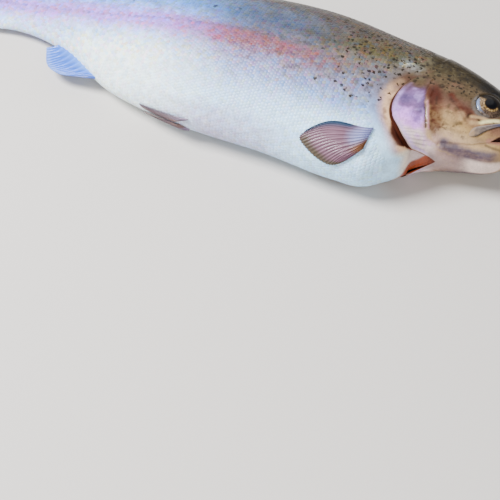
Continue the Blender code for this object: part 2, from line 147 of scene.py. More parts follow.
# The free edge of the gill cover as (angle, along), and the rows that fold it under, as (behind, depth).
GILL_EDGE = [(0, 0.178), (40, 0.178), (58, 0.184), (70, 0.190), (78, 0.206), (86, 0.219), (93, 0.226),
             (99.5, 0.227), (104, 0.225), (112, 0.217), (119.5, 0.206), (136, 0.188), (154, 0.173),
             (167, 0.156), (180, 0.138)]
FOLD = [(0.0, 0.0), (0.0004, -0.0002), (0.0006, -0.0008), (0.0002, -0.0013), (-0.003, -0.0018),
        (-0.0065, -0.0022), (-0.0070, -0.0026), (-0.0065, -0.0030), (-0.002, -0.0030), (0.0015, -0.0028)]
FOLD_TURN = 3               # the first row of the fold that is inside the slit
# Where the red of the throat starts, as an angle for each place along: it shows more on the left side.
THROAT_START = [(0, 165), (0.140, 168), (0.150, 172), (0.160, 175.5), (0.170, 178), (0.176, 183),
                (0.180, 191), (0.185, 200), (0.190, 215), (1, 300)]
SLIT_OPENS = (66, 84)       # the slit opens between these angles, in degrees from the back
UNDER_HEAD = (150, 160)     # and the underside of the head begins between these
SLIT_FLOOR = -0.0028
GIRDLE = 0.0130             # how far behind the gill cover the flank comes back up, in metres
BREAST_RISE = 0.0035        # the same, low on the breast

CHEEK_BONE = [(0.186, 0.030), (0.187, 0.012), (0.186, -0.004), (0.1785, -0.0235), (0.172, -0.040),
              (0.1655, -0.053), (0.154, -0.062), (0.138, -0.066)]


# ---------------------------------------------------------------- curves and masks

def smooth(stations, at):
    """A smooth curve through the stations: a cubic from each to the next, with slopes from both sides."""
    xs, ys = np.array(stations, float).T
    slope = np.gradient(ys, xs)
    at = np.clip(np.asarray(at, float), xs[0], xs[-1])
    i = np.clip(np.searchsorted(xs, at) - 1, 0, len(xs) - 2)
    step = xs[i + 1] - xs[i]
    t = (at - xs[i]) / step
    rise = (2 * t**3 - 3 * t**2 + 1) * ys[i] + (3 * t**2 - 2 * t**3) * ys[i + 1]
    return rise + step * ((t**3 - 2 * t**2 + t) * slope[i] + (t**3 - t**2) * slope[i + 1])


def smooth_line(places, at):
    """A smooth curve through evenly spaced (along, up) places: one array for each of the two."""
    steps = np.linspace(0, 1, len(places))
    return [smooth(list(zip(steps, [place_of[k] for place_of in places])), at) for k in (0, 1)]


def straight(stations, at):
    """Straight lines from each station to the next."""
    xs, ys = np.array(stations, float).T
    return np.interp(at, xs, ys)


def ease(value, low, high):
    """0 up to low, 1 from high, and between them the smooth step 3t^2 - 2t^3."""
    t = np.clip((value - low) / (high - low), 0, 1)
    return t * t * (3 - 2 * t)


def rest(value, low, high):
    """1 up to low, 0 from high: what ease leaves of 1."""
    return 1 - ease(value, low, high)


def window(value, rise, fall):
    """Up over the pair of values in rise, and down again over the pair in fall."""
    return ease(value, *rise) * rest(value, *fall)


def blend(near, far, share):
    """From near at a share of 0 to far at a share of 1."""
    return near + (far - near) * share


def from_line(along, up, line):
    """How far places in the side view are from a line of corners, in metres."""
    corners = np.array(line, float) * BODY_LENGTH
    points = np.stack([along, up], -1) * BODY_LENGTH
    best = np.full(np.shape(along), np.inf)
    for start, end in zip(corners[:-1], corners[1:]):
        run = end - start
        t = np.clip((points - start) @ run / (run @ run), 0, 1)
        best = np.minimum(best, np.linalg.norm(points - start - t[..., None] * run, axis=-1))
    return best


def near_line(along, up, line, half, soft):
    """1 within `half` metres of a line in the side view, falling to 0 over `soft` metres."""
    return rest(from_line(along, up, line), half, half + soft)


def near_spot(along, up, centre, half, soft=0.6, turn=0.0):
    """1 in the middle of an ellipse in the side view, falling to 0 at its edge; turn is in degrees."""
    x = (along - centre[0]) * BODY_LENGTH
    y = (up - centre[1]) * BODY_LENGTH
    c, s = math.cos(math.radians(turn)), math.sin(math.radians(turn))
    reach = np.hypot((x * c + y * s) / half[0], (y * c - x * s) / half[1])
    return rest(reach, 1 - soft, 1)


def near(along, up, places, *reach):
    """near_line for a list of places, and near_spot for one place."""
    return (near_line if isinstance(places, list) else near_spot)(along, up, places, *reach)


def ahead_of(line, step):
    """A line in the side view, moved towards the snout."""
    return [(along - step, up) for along, up in line]


def cloud(along, up, size, seed):
    """Smooth random values about 0 in the side view: a lattice of random numbers `size` metres apart,
    blended between its corners with the smooth step, and half as much of one 2.2 times as fine."""
    total = np.zeros(np.shape(along))
    for share, fine in ((1.0, 1.0), (0.5, 2.2)):
        lattice = np.random.default_rng(seed).uniform(-1, 1, (256, 256))
        x = along * BODY_LENGTH * fine / size + 100
        y = up * BODY_LENGTH * fine / size + 100
        i, j = np.floor(x).astype(int) % 255, np.floor(y).astype(int) % 255
        a, b = ease(x % 1, 0, 1), ease(y % 1, 0, 1)
        below = blend(lattice[i, j], lattice[i + 1, j], a)
        above = blend(lattice[i, j + 1], lattice[i + 1, j + 1], a)
        total += share * blend(below, above, b)
    return total


# ---------------------------------------------------------------- the body's shape

def spine(along):
    """How far the lying fish curves towards its back: a long bow, and the head lifted a little more."""
    away = along - BEND_MIDDLE
    bow = BODY_BEND * away**2 + END_BEND * away**2 * np.sign(away)
    return bow + HEAD_BEND * np.maximum(HEAD_BEND_START - along, 0)**2


def nose_round(along):
    """A quarter circle from 0 at the snout to 1 at NOSE_LENGTH."""
    return np.sqrt(np.clip(1 - (1 - np.clip(along / NOSE_LENGTH, 0, 1))**2, 0, 1))


def reach_and_power(along, above):
    """How far the section reaches above or below the midline, and the power of its superellipse there."""
    reach = np.where(above, smooth(BACK, along), smooth(BELLY, along)) * nose_round(along)
    return reach, 2 / np.where(above, smooth(FULL_ABOVE, along), smooth(FULL_BELOW, along))


def section(along, angle):
    """(up, side) on the body's surface: a superellipse with its own reach above and below, rounded at the
    nose."""
    c = np.cos(angle)
    s = np.sin(angle)
    reach, power = reach_and_power(along, c > 0)
    width = smooth(HALF_WIDTH, along) * nose_round(along)
    return reach * np.sign(c) * np.abs(c)**power, width * np.sign(s) * np.abs(s)**power


def angle_of(along, up):
    """The angle on the right side where the section passes a height: the section's formula turned round."""
    above = up > 0
    reach, power = reach_and_power(along, above)
    share = np.clip(np.abs(up) / np.maximum(reach, TINY), 0, 1)**(1 / power)
    return np.arccos(np.clip(np.where(above, share, -share), -1, 1))


def place(along, up, side):
    """Places in metres: the midplane lies MID_HEIGHT over the surface, and what would sink in is pressed
    flat."""
    along, up, side = np.broadcast_arrays(along, up, side)
    height = smooth(MID_HEIGHT, along) + side + LEAN * up
    x = SNOUT_X - along * BODY_LENGTH
    y = MIDDLE_Y + (up + spine(along)) * BODY_LENGTH
    return np.stack([x, y, np.maximum(height, 0) * BODY_LENGTH], -1)


def body_place(along, angle):
    """Places in metres on the body's surface."""
    return place(along, *section(along, angle))


def directions(along, angle):
    """Unit vectors on the surface, from small steps: outwards, towards the head, and round towards the
    belly."""
    step = 0.0015
    forward = body_place(along - step, angle) - body_place(along + step, angle)
    around = body_place(along, angle + step) - body_place(along, angle - step)
    outward = np.cross(around, forward)
    ways = (outward, forward, around)
    return [way / np.maximum(np.linalg.norm(way, axis=-1, keepdims=True), TINY) for way in ways]


def surface(along, angle, out):
    """The body's surface, moved `out` metres along its own outward direction."""
    along, angle, out = np.broadcast_arrays(along, angle, out)
    return body_place(along, angle) + directions(along, angle)[0] * out[..., None]


def bake_place(along, angle):
    """The bake's image is the body unrolled: angles run across it, and the fish from 0.10 of its height
    up."""
    return np.stack(np.broadcast_arrays(0.5 + angle / (2 * math.pi), 0.10 + 0.84 * along), -1)


def gill_edge(angle):
    """Where the gill cover ends at an angle, the same on both sides, and that angle in degrees from the
    back."""
    degrees = np.degrees(np.abs((angle + math.pi) % (2 * math.pi) - math.pi))
    return smooth(GILL_EDGE, degrees), degrees


def ground_depth(along, angle):
    """How deep the skin lies behind the gill cover: up out of the slit to the flank over GIRDLE, sooner on
    the breast, and under the throat a hollow that ends in a step."""
    edge, degrees = gill_edge(angle)
    behind = (along - edge) * BODY_LENGTH
    rise = blend(GIRDLE, BREAST_RISE, ease(degrees, 116, 142))
    girdle = blend(SLIT_FLOOR, -COAT_DEPTH, ease(behind / rise, 0.0, 1.0))
    floor = blend(SLIT_FLOOR, -COAT_DEPTH, 0.5 * ease(degrees, 160, 176))
    throat = blend(floor, -COAT_DEPTH, ease(along, 0.170, 0.178))
    deep = blend(girdle, throat, ease(degrees, *UNDER_HEAD))
    return blend(-COAT_DEPTH, deep, ease(degrees, *SLIT_OPENS))


# ---------------------------------------------------------------- meshes

def quads(rows, columns):
    """Corner numbers of the faces of a grid of points, all turned the same way."""
    index = np.arange(rows * columns).reshape(rows, columns)
    return np.stack([index[:-1, :-1], index[1:, :-1], index[1:, 1:], index[:-1, 1:]], -1).reshape(-1, 4)


def add_marks(mesh, marks):
    """Named point attributes: a number, a vector or a colour for every point."""
    kinds = {1: ("FLOAT", "value"), 3: ("FLOAT_VECTOR", "vector"), 4: ("FLOAT_COLOR", "color")}
    for name, values in marks.items():
        kind, field = kinds[values.size // len(mesh.vertices)]
        data = mesh.attributes.new(name, kind, "POINT").data
        data.foreach_set(field, np.asarray(values, np.float32).ravel())


def build(name, points, faces, finish, replaced=(), marks=None, bake=None):
    """A piece from an array of points and arrays of faces, one for each number of corners.
    Marks are its named point attributes, and bake holds the OFBake place of every face corner."""
    mesh = bpy.data.meshes.new(name)
    corners = np.concatenate([f.ravel() for f in faces])
    sizes = np.concatenate([np.full(len(f), f.shape[1]) for f in faces])
    mesh.vertices.add(len(points))
    mesh.vertices.foreach_set("co", np.asarray(points, np.float32).ravel())
    mesh.loops.add(len(corners))
    mesh.loops.foreach_set("vertex_index", corners.astype(np.int32))
    mesh.polygons.add(len(sizes))
    mesh.polygons.foreach_set("loop_start", (np.cumsum(sizes) - sizes).astype(np.int32))
    mesh.update(calc_edges=True)
    if bake is not None:
        mesh.uv_layers.new(name="OFBake").data.foreach_set("uv", np.asarray(bake, np.float32).ravel())
    add_marks(mesh, marks or {})
    mesh.shade_smooth()
    mesh.materials.append(finish)
    piece = bpy.data.objects.new(name, mesh)
    bpy.context.scene.collection.objects.link(piece)
    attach(piece, "root")
    if replaced:
        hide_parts(*replaced)
    return piece


def close_mesh(piece, weld=WELD):
    """Merge doubled points, drop faces that vanish, and turn every face outwards."""
    shape = bmesh.new()
    shape.from_mesh(piece.data)
    bmesh.ops.remove_doubles(shape, verts=shape.verts, dist=weld)
    bmesh.ops.dissolve_degenerate(shape, edges=shape.edges, dist=weld)
    bmesh.ops.recalc_face_normals(shape, faces=shape.faces)
    shape.to_mesh(piece.data)
    shape.free()


def plate(near_face, far_face):
    """Points and faces of a closed plate between two grids that share their rows and columns."""
    rows, columns, _ = near_face.shape
    count = rows * columns
    index = np.arange(count).reshape(rows, columns)
    rim = np.concatenate([index[:, 0], index[-1, 1:], index[-2::-1, -1], index[0, -2:0:-1]])
    ahead = np.roll(rim, -1)
    front = quads(rows, columns)
    faces = [front, front[:, ::-1] + count, np.stack([rim, rim + count, ahead + count, ahead], -1)]
    return np.concatenate([near_face.reshape(-1, 3), far_face.reshape(-1, 3)]), np.concatenate(faces)


# ---------------------------------------------------------------- colours

# Linear colours of the fish by name, each with an alpha of 1.
COLOUR = {name: values + (1.0,) for name, values in {
    "front_back": (0.034, 0.023, 0.015), "front_top": (0.065, 0.048, 0.034),
    "front_olive": (0.066, 0.056, 0.024), "front_mid": (0.118, 0.100, 0.088),
    "front_flank": (0.119, 0.105, 0.129), "front_low": (0.172, 0.167, 0.257),
    "front_pale": (0.220, 0.320, 0.560), "front_white": (0.450, 0.700, 0.930),
    "mid_back": (0.032, 0.024, 0.022), "mid_top": (0.050, 0.046, 0.047), "mid_blue": (0.073, 0.090, 0.142),
    "mid_steel": (0.055, 0.073, 0.121), "mid_grey": (0.093, 0.091, 0.146),
    "mid_rose": (0.172, 0.068, 0.098), "mid_lilac": (0.213, 0.194, 0.360),
    "mid_pale": (0.240, 0.330, 0.590), "mid_white": (0.430, 0.650, 0.900),
    "mid_belly": (0.420, 0.420, 0.600),
    # The rear's colours are the fish's silvery blue, brightened and blued as painted reflection of glare.
    "rear_back": (0.040, 0.050, 0.070), "rear_steel": (0.070, 0.140, 0.290),
    "rear_blue_glare": (0.085, 0.250, 0.680), "rear_light_glare": (0.200, 0.340, 0.820),
    "rear_rose": (0.360, 0.210, 0.740), "rear_pale_glare": (0.450, 0.610, 0.880),
    "rear_white_glare": (0.760, 0.900, 0.950),
    "rose": (0.250, 0.058, 0.080), "spot": (0.010, 0.006, 0.002), "fleck": (0.044, 0.040, 0.046),
    "fin_grey": (0.155, 0.165, 0.195), "crown": (0.016, 0.009, 0.001), "top_olive": (0.030, 0.020, 0.008),
    "olive": (0.043, 0.030, 0.010), "olive_light": (0.082, 0.053, 0.026), "brown": (0.076, 0.047, 0.022),
    "pink_brown": (0.097, 0.050, 0.032), "tan_pink": (0.177, 0.088, 0.052), "tan": (0.320, 0.200, 0.080),
    "cream": (0.385, 0.250, 0.125), "pale": (0.349, 0.213, 0.175), "under": (0.291, 0.209, 0.205),
    "band": (0.078, 0.052, 0.068), "jaw_tan": (0.190, 0.115, 0.062), "forehead": (0.003, 0.002, 0.002),
    # The pale nape colour on the next line is a painted highlight.
    "nape": (0.094, 0.077, 0.042), "nape_highlight": (0.430, 0.500, 0.500), "nape_rim": (0.070, 0.040, 0.030),
    # The chin's colour on the next line is painted light, paler than the skin against the shade under the
    # jaw.
    "chin_painted_light": (0.740, 0.580, 0.520), "eye_ring_shade": (0.020, 0.015, 0.009), "socket": (0.110, 0.095, 0.085),
    "streak": (0.700, 0.620, 0.300), "dark_brown": (0.022, 0.010, 0.005), "lip": (0.250, 0.110, 0.085),
    "gill_top": (0.066, 0.034, 0.056), "gill_blue": (0.125, 0.072, 0.200),
    "gill_mid": (0.175, 0.088, 0.220), "gill_lilac": (0.480, 0.210, 0.720),
    "gill_pink": (0.640, 0.270, 0.800), "gill_white": (0.720, 0.560, 0.540),
    "gill_pale": (0.640, 0.470, 0.520), "gill_cream": (0.420, 0.320, 0.290),
    "gill_deep": (0.075, 0.048, 0.130), "gill_rim": (0.440, 0.280, 0.660),
    "gill_grey": (0.170, 0.130, 0.140),
    "ink": (0.012, 0.007, 0.010), "bone": (0.520, 0.230, 0.290), "red": (0.054, 0.011, 0.005),
    "red_patch": (0.068, 0.018, 0.010), "peach": (0.640, 0.400, 0.240), "pinkish": (0.420, 0.280, 0.360),
    # The darkest reds on the next line are painted shade in the gill slit, over the flesh's own dark red.
    "rust_red_and_shade": (0.048, 0.011, 0.005), "slit": (0.009, 0.002, 0.002), "throat": (0.250, 0.042, 0.011),
    # The dark throat colour on the next line serves as painted shade at the throat's apex and as mottles.
    "throat_shade_and_mottle": (0.030, 0.005, 0.002), "breast": (0.620, 0.540, 0.420), "mouth": (0.090, 0.014, 0.007),
    "iris_tan_dark": (0.070, 0.040, 0.018), "iris_tan": (0.290, 0.200, 0.110),
    "iris_gold_dark": (0.080, 0.045, 0.014), "iris_gold": (0.360, 0.240, 0.095),
    "iris_brown_dark": (0.030, 0.019, 0.012), "iris_brown": (0.095, 0.062, 0.042),
    "iris_silver": (0.150, 0.195, 0.320), "iris_steel": (0.062, 0.078, 0.120),
    "iris_ring": (0.034, 0.016, 0.006), "iris_brow_shadow": (0.008, 0.005, 0.003),
    "eye_rim": (0.016, 0.013, 0.010), "pupil": (0.001, 0.001, 0.002),
    "plate_dark": (0.115, 0.088, 0.078), "plate_light": (0.180, 0.140, 0.118),
    "plate_blue": (0.082, 0.080, 0.135), "plate_tan": (0.300, 0.195, 0.110),
    # The last colour on the next line is a painted shadow line for the jaw plate's lower edge.
    "plate_edge": (0.240, 0.185, 0.150), "plate_shadow_line": (0.045, 0.031, 0.021),
    "tongue_dark": (0.200, 0.070, 0.060), "tongue_light": (0.340, 0.150, 0.130),
    "scale_warm": (1.15, 1.02, 0.66), "scale_cool": (0.72, 0.95, 1.20), "scale_rosy": (1.20, 0.82, 0.96),
}.items()}

# The body's colours from the belly up to the back, as (height, colour), at its front, middle and rear.
# The rear's ladder is the stalk's silvery blue made brighter and bluer as painted reflection of a window's
# glare.
BODY_LADDERS = [
    [(-0.14, "front_white"), (-0.095, "front_white"), (-0.062, "front_pale"), (-0.030, "front_low"),
     (0.000, "front_flank"), (0.026, "front_mid"), (0.050, "front_olive"), (0.092, "front_top"),
     (0.140, "front_back")],
    [(-0.14, "mid_belly"), (-0.105, "mid_white"), (-0.062, "mid_pale"), (-0.036, "mid_lilac"),
     (-0.012, "mid_rose"), (0.010, "mid_rose"), (0.028, "mid_grey"), (0.052, "mid_steel"),
     (0.084, "mid_blue"), (0.108, "mid_top"), (0.145, "mid_back")],
    [(-0.14, "rear_white_glare"), (-0.060, "rear_white_glare"), (-0.036, "rear_pale_glare"), (-0.010, "rear_rose"),
     (0.010, "rear_rose"), (0.030, "rear_light_glare"), (0.054, "rear_blue_glare"), (0.082, "rear_steel"),
     (0.116, "rear_back")]]
LADDER_LOW, LADDER_SPAN = -0.15, 0.32

# The same for the head's bare skin and for the gill cover.
HEAD_LADDER = [(-0.082, "under"), (-0.064, "pale"), (-0.046, "cream"), (-0.032, "tan"), (-0.014, "tan_pink"),
               (0.004, "pink_brown"), (0.020, "brown"), (0.036, "olive_light"), (0.058, "olive"),
               (0.076, "crown"), (0.096, "top_olive")]
COVER_LADDER = [(-0.084, "gill_cream"), (-0.070, "gill_white"), (-0.063, "gill_pale"), (-0.056, "gill_pink"),
                (-0.044, "gill_lilac"), (-0.032, "gill_mid"), (-0.014, "gill_blue"), (0.000, "gill_mid"),
                (0.010, "gill_top")]

# Marks on the head in the order they are laid: a colour, its strength, how much the ripple adds to it,
# and either a line of places with its half width and soft edge, or one place with an ellipse's half
# sizes, softness and turn in degrees. Lengths are in metres.
CHEEK_MARKS = [
    ("ink", 0.85, 0, CHEEK_BONE[3:6], 0.0002, 0.0006),
    ("bone", 0.85, 0, ahead_of([(0.1835, -0.012)] + CHEEK_BONE[3:6], 0.0040), 0.0002, 0.0007),
    ("pink_brown", 0.6, 0, [(0.186, 0.022), (0.178, 0.010)], 0.0020, 0.0040),
    ("red", 0.78, 0.16, [(0.178, 0.012), (0.171, 0.001), (0.166, -0.014), (0.160, -0.030), (0.154, -0.045)],
     0.0014, 0.0058),
    ("red", 0.90, 0.3, (0.1745, 0.003), (0.0062, 0.0098), 0.8, -20),
    ("tan_pink", 0.45, 0, (0.1590, -0.020), (0.0022, 0.0040), 0.9, -15),
    ("dark_brown", 0.6, 0, [(0.170, 0.002), (0.165, -0.012)], 0.0001, 0.0010),
    ("red_patch", 0.78, 0.4,
     [(0.150, 0.012), (0.145, 0.005), (0.132, -0.002), (0.120, -0.007), (0.112, -0.011)], 0.0006, 0.0030),
    ("dark_brown", 0.6, 0, [(0.149, 0.006), (0.143, 0.000)], 0.0001, 0.0010),
    ("dark_brown", 0.75, 0, (0.1115, -0.0165), (0.0020, 0.0034), 0.8, 20),
    ("dark_brown", 0.95, 0, (0.169, 0.024), (0.0026, 0.0021), 0.5),
    ("nape", 0.6, 0, (0.1692, 0.0245), (0.0010, 0.0008), 0.8)]
JAW_MARKS = [
    ("cream", 0.55, 0.5, (0.1400, -0.0270), (0.0090, 0.0056), 0.9, 20),
    ("cream", 0.8, 0, [(0.108, -0.0168), (0.0956, -0.0150), (0.0856, -0.0150)], 0.0002, 0.0016),
    ("cream", 0.8, 0, [(0.104, -0.0268), (0.0900, -0.0230)], 0.0004, 0.0020),
    ("streak", 0.95, 0.25, [(0.0915, -0.0222), (0.080, -0.0162), (0.067, -0.0108), (0.050, -0.0066)],
     0.0002, 0.0017),
    ("brown", 0.7, 0, (0.0955, -0.0195), (0.0024, 0.0013), 0.7, 20),
    ("dark_brown", 0.85, 0, (0.0950, -0.0192), (0.0011, 0.0008), 0.7),
    ("dark_brown", 0.9, 0, (0.0720, -0.0172), (0.0018, 0.0007), 0.8, 25),
    ("jaw_tan", 0.75, 0, (0.080, -0.0500), (0.0075, 0.0034), 0.9),
    ("lip", 0.8, 0, [(0.070, -0.0465), (0.052, -0.0445), (0.030, -0.0340)], 0.0006, 0.0016),
    ("brown", 0.7, 0, [(0.071, -0.0535), (0.060, -0.0548), (0.042, -0.0540)], 0.0002, 0.0009)]
JAW_BAND = [(0.134, -0.0622), (0.121, -0.0645), (0.105, -0.0660), (0.089, -0.0668), (0.074, -0.0663),
            (0.059, -0.0649), (0.046, -0.0615)]
RAY_SLANT = 0.35            # how much the low rays of the gill cover slant
RAY_WAVES = 1500            # radians of their wave for each body length
NAPE_RIM = [(0.262, 0.0310), (0.2406, 0.0300), (0.216, 0.0290), (0.200, 0.0330), (0.188, 0.0240)]


def bands(value, stops):
    """Colours that run straight from one named colour to the next, for stops of (value, name)."""
    places = [place_of for place_of, _ in stops]
    return np.stack([np.interp(value, places, [COLOUR[name][channel] for _, name in stops])
                     for channel in range(4)], -1)


def cover_stripes(along, up):
    """A wave from -1 to 1 across the low rays of the gill cover, which slant down towards the tail."""
    return np.sin((up + RAY_SLANT * along) * RAY_WAVES)


class HeadPaint:
    """The bare head's colours, laid one over the other: the paint moves towards a colour by a soft mask.
    Its masks use how far a place is behind the edge of the gill cover, in metres, and three sizes of noise,
    which run on round the crown and under the throat."""

    def __init__(self, along, up, side, degrees, inside):
        self.along, self.up, self.side, self.degrees, self.inside = along, up, side, degrees, inside
        self.behind = (along - smooth(GILL_EDGE, degrees)) * BODY_LENGTH
        self.round_up = (up + 0.13 * np.radians(np.maximum(58 - degrees, 0))
                         - 0.10 * np.radians(np.maximum(degrees - UNDER_HEAD[0], 0)))
        self.waves = self.noise(0.0065, 3)
        self.ripple = self.noise(0.0026, 4)
        raised = up + 0.25 * np.maximum(0.13 - along, 0) + 0.0035 * self.waves
        self.paint = bands(raised, HEAD_LADDER)

    def noise(self, size, seed):
        return cloud(self.along, self.round_up, size, seed)

    def lay(self, colour, mask):
        """Move the paint towards a named colour, or an array of colours, by a mask kept from 0 to 1."""
        shade = np.array(COLOUR[colour]) if isinstance(colour, str) else colour
        self.paint = blend(self.paint, shade, np.clip(mask, 0, 1)[..., None])

    def near(self, places, *reach):
        return near(self.along, self.up, places, *reach)

    def marks(self, rows):
        """Lay rows of marks, as CHEEK_MARKS holds them."""
        for colour, strength, uneven, places, *reach in rows:
            self.lay(colour, self.near(places, *reach) * (strength + uneven * self.ripple))


def nape_highlight_patch(p):
    """The painted highlight on the nape: a pale patch standing in for light reflected off its curve."""
    return p.near((0.2290, 0.0460), (0.0120, 0.0072), 0.75, 8) * (1.0 + 0.45 * p.waves)


def paint_crown(p):
    """The nape with its painted highlight, the dark forehead, and the rings round the eye, the dark one
    painted shade.
    """
    p.lay("nape", ease(p.along, 0.190, 0.212) * window(p.up, (0.016, 0.034), (0.076, 0.096)))
    # A pale patch painted on the nape as a highlight.
    p.lay("nape_highlight", nape_highlight_patch(p) * (0.80 + 0.9 * p.ripple))
    p.lay("nape_rim", p.near(NAPE_RIM, 0.0004, 0.0018) * (0.55 + 0.7 * p.ripple))
    p.lay("forehead", ease(p.up + 0.35 * (0.13 - p.along), 0.038, 0.054) * rest(p.along, 0.105, 0.145))
    # A dark ring painted round the eye: painted shade at the rim of its socket.
    p.lay("eye_ring_shade", p.near(EYE_PLACE, (0.0122, 0.0114), 0.30) * 0.85)
    hind = ease(0.8 * (p.along - EYE_PLACE[0]) - 0.6 * (p.up - EYE_PLACE[1]), 0.0050, 0.0150)
    p.lay("socket", p.near(EYE_PLACE, (0.0112, 0.0109), 0.12) * hind * 0.80)
    p.lay("dark_brown", p.near((0.1135, -0.0045), (0.0012, 0.0034), 0.9, 35) * 0.45)


def paint_mottle(p):
    """Uneven patches and grain over the cheek and the crown, and fine specks on the cheek."""
    cheek = window(p.along, (0.100, 0.120), (0.180, 0.200))
    dark, light = ease(p.ripple, 0.10, 0.80), ease(-p.ripple, 0.10, 0.80)
    p.lay("brown", dark * 0.72 * cheek * window(p.up, (-0.056, -0.034), (0.010, 0.030)))
    p.lay("cream", light * 0.66 * cheek * rest(p.up, -0.022, -0.004))
    p.lay("crown", ease(p.ripple, 0.05, 0.80) * 0.45 * ease(p.up, 0.012, 0.030))
    p.marks([("tan_pink", 0.42, 0.4, (0.1510, 0.0300), (0.0075, 0.0062), 0.95, -25),
             ("crown", 0.60, 0.4, (0.1330, 0.0560), (0.0150, 0.0080), 0.95, -20)])
    p.lay("nape", ease(-p.ripple, 0.30, 1.00) * 0.40 * ease(p.up, 0.012, 0.030) * ease(p.along, 0.110, 0.130))
    grain = p.noise(0.0013, 8)
    p.lay("nape", ease(grain, 0.35, 0.95) * 0.40 * ease(p.up, 0.000, 0.020) * ease(p.along, 0.138, 0.152))
    p.lay("crown", ease(-grain, 0.35, 0.95) * 0.45 * ease(p.up, -0.006, 0.016) * ease(p.along, 0.095, 0.115))
    speck = ease(p.noise(0.0013, 6), 0.45, 0.90) * window(p.along, (0.100, 0.112), (0.158, 0.172))
    p.lay("brown", speck * 0.70 * window(p.up, (-0.060, -0.052), (-0.014, -0.004)))


def paint_cover(p, rear_of_head):
    """The pearly gill cover, from the bone of the cheek to its free edge: a ladder of lilac and pink,
    clouds, a pale rim, striped rays low down, and fine dark veins where a cloud passes through 0."""
    along, up, behind, waves, ripple = p.along, p.up, p.behind, p.waves, p.ripple
    front = straight(sorted((u, a) for a, u in CHEEK_BONE), up)
    soft = 0.003 + 0.014 * ease(-up, 0.036, 0.062)
    low = rest(up + 0.006 * waves + 0.35 * (along - 0.200), 0.002, 0.019)
    cover = ease(along + 0.002 * waves, front - 0.001, front + soft) * rear_of_head * low
    p.lay(bands(up + 0.005 * waves, COVER_LADDER), cover)
    p.lay("gill_deep", cover * ease(0.6 * ripple + 0.6 * waves, 0.05, 0.70) * 0.60 * rest(-up, 0.050, 0.062))
    p.lay("gill_pink", cover * ease(0.5 * ripple - 0.6 * waves, 0.05, 0.80) * 0.60 * ease(-up, 0.016, 0.040))
    fine = ease(cloud(along, up, 0.0040, 5), 0.20, 0.80)
    p.lay("gill_rim", cover * fine * 0.50 * (1 - 0.6 * ease(-up, 0.040, 0.050)))
    p.lay("gill_rim", cover * window(behind, (-0.0036, -0.0014), (-0.0008, -0.0002)) * 0.65)
    p.lay("gill_deep", cover * p.near((0.182, -0.022), (0.0030, 0.0080), 0.9, 12) * 0.5)
    p.lay("gill_top", cover * ease(behind, -0.0060, -0.0030) * ease(up + 0.006 * ripple, -0.016, 0.000) * 0.8)
    stripes = cover_stripes(along, up)
    rays = ease(-up, 0.060, 0.067)
    ends = ease(along, 0.150, 0.162) * rest(behind, -0.0030, -0.0010)
    p.lay("gill_grey", ease(stripes, 0.2, 0.9) * 0.5 * rays * ends)
    p.lay("gill_white", cover * ease(-stripes, 0.3, 0.9) * 0.4 * rays)
    p.marks([("cream", 0.75, 0.3, (0.1560, -0.0600), (0.0068, 0.0042), 0.9, 15)])
    vein = rest(np.abs(cloud(along, up, 0.0018, 9)), 0.03, 0.20)
    p.lay("gill_deep", cover * vein * 0.28 * rest(-up, 0.052, 0.060))


def paint_jaw(p):
    """The marks between the eye and the mouth, the dark band along the jaw, and the pale chin, painted paler
    still as light.
    """
    p.marks(JAW_MARKS)
    band = p.near(JAW_BAND, 0.0008, 0.0026) * (0.92 + 0.16 * p.ripple)
    p.lay("band", band * ease(p.along, 0.036, 0.062))
    p.lay("under", ease(-p.up, 0.0705, 0.0740) * rest(p.along, 0.145, 0.160))
    # Painted light: the chin is made paler than its skin to lift the shade under the jaw.
    chin_painted_light = rest(p.up + smooth(BELLY, p.along), 0.0006, 0.0034) * ease(p.along, 0.012, 0.050)
    p.lay("chin_painted_light", chin_painted_light * rest(p.along, 0.075, 0.110) * 0.9)
    p.lay("pale", p.near((0.147, -0.0600), (0.0040, 0.0026), 0.9) * 0.8)


def paint_girdle(p):
    """The bare flesh behind the gill cover: brown above, peach below, and in the slit itself, which is widest
    low on the side, a dark red band that is part the flesh's colour and part painted shade, and painted near
    black shade."""
    degrees, behind, waves, ripple = p.degrees, p.behind, p.waves, p.ripple
    girdle = ease(behind, -0.0002, 0.0006) * ease(degrees, 62, 80)
    p.lay("pink_brown", girdle * (0.7 + 0.3 * ripple))
    p.lay("peach", girdle * ease(degrees + 4 * waves, 84, 96))
    p.lay("tan_pink", girdle * ease(0.7 * ripple + 0.5 * waves, 0.0, 0.9) * ease(degrees, 84, 96) * 0.7)
    p.lay("pinkish", girdle * ease(behind, 0.0042, 0.0075) * 0.7 * ease(degrees, 92, 104))
    low = window(degrees, (108, 128), (140, 151))
    end = 0.0009 + 0.0034 * low
    # A dark red band behind the cover's edge: partly the flesh's colour, partly painted shade under the edge.
    p.lay("rust_red_and_shade", girdle * rest(behind + 0.0004 * waves, end, 1.7 * end) * ease(degrees, 80, 100))
    # The slit painted near black: painted shade in the recess under the cover.
    slit = rest(behind, 0.0005 + 0.0012 * low, 0.0012 + 0.0024 * low)
    p.lay("slit", girdle * slit * window(degrees, (72, 104), (148, 158)))


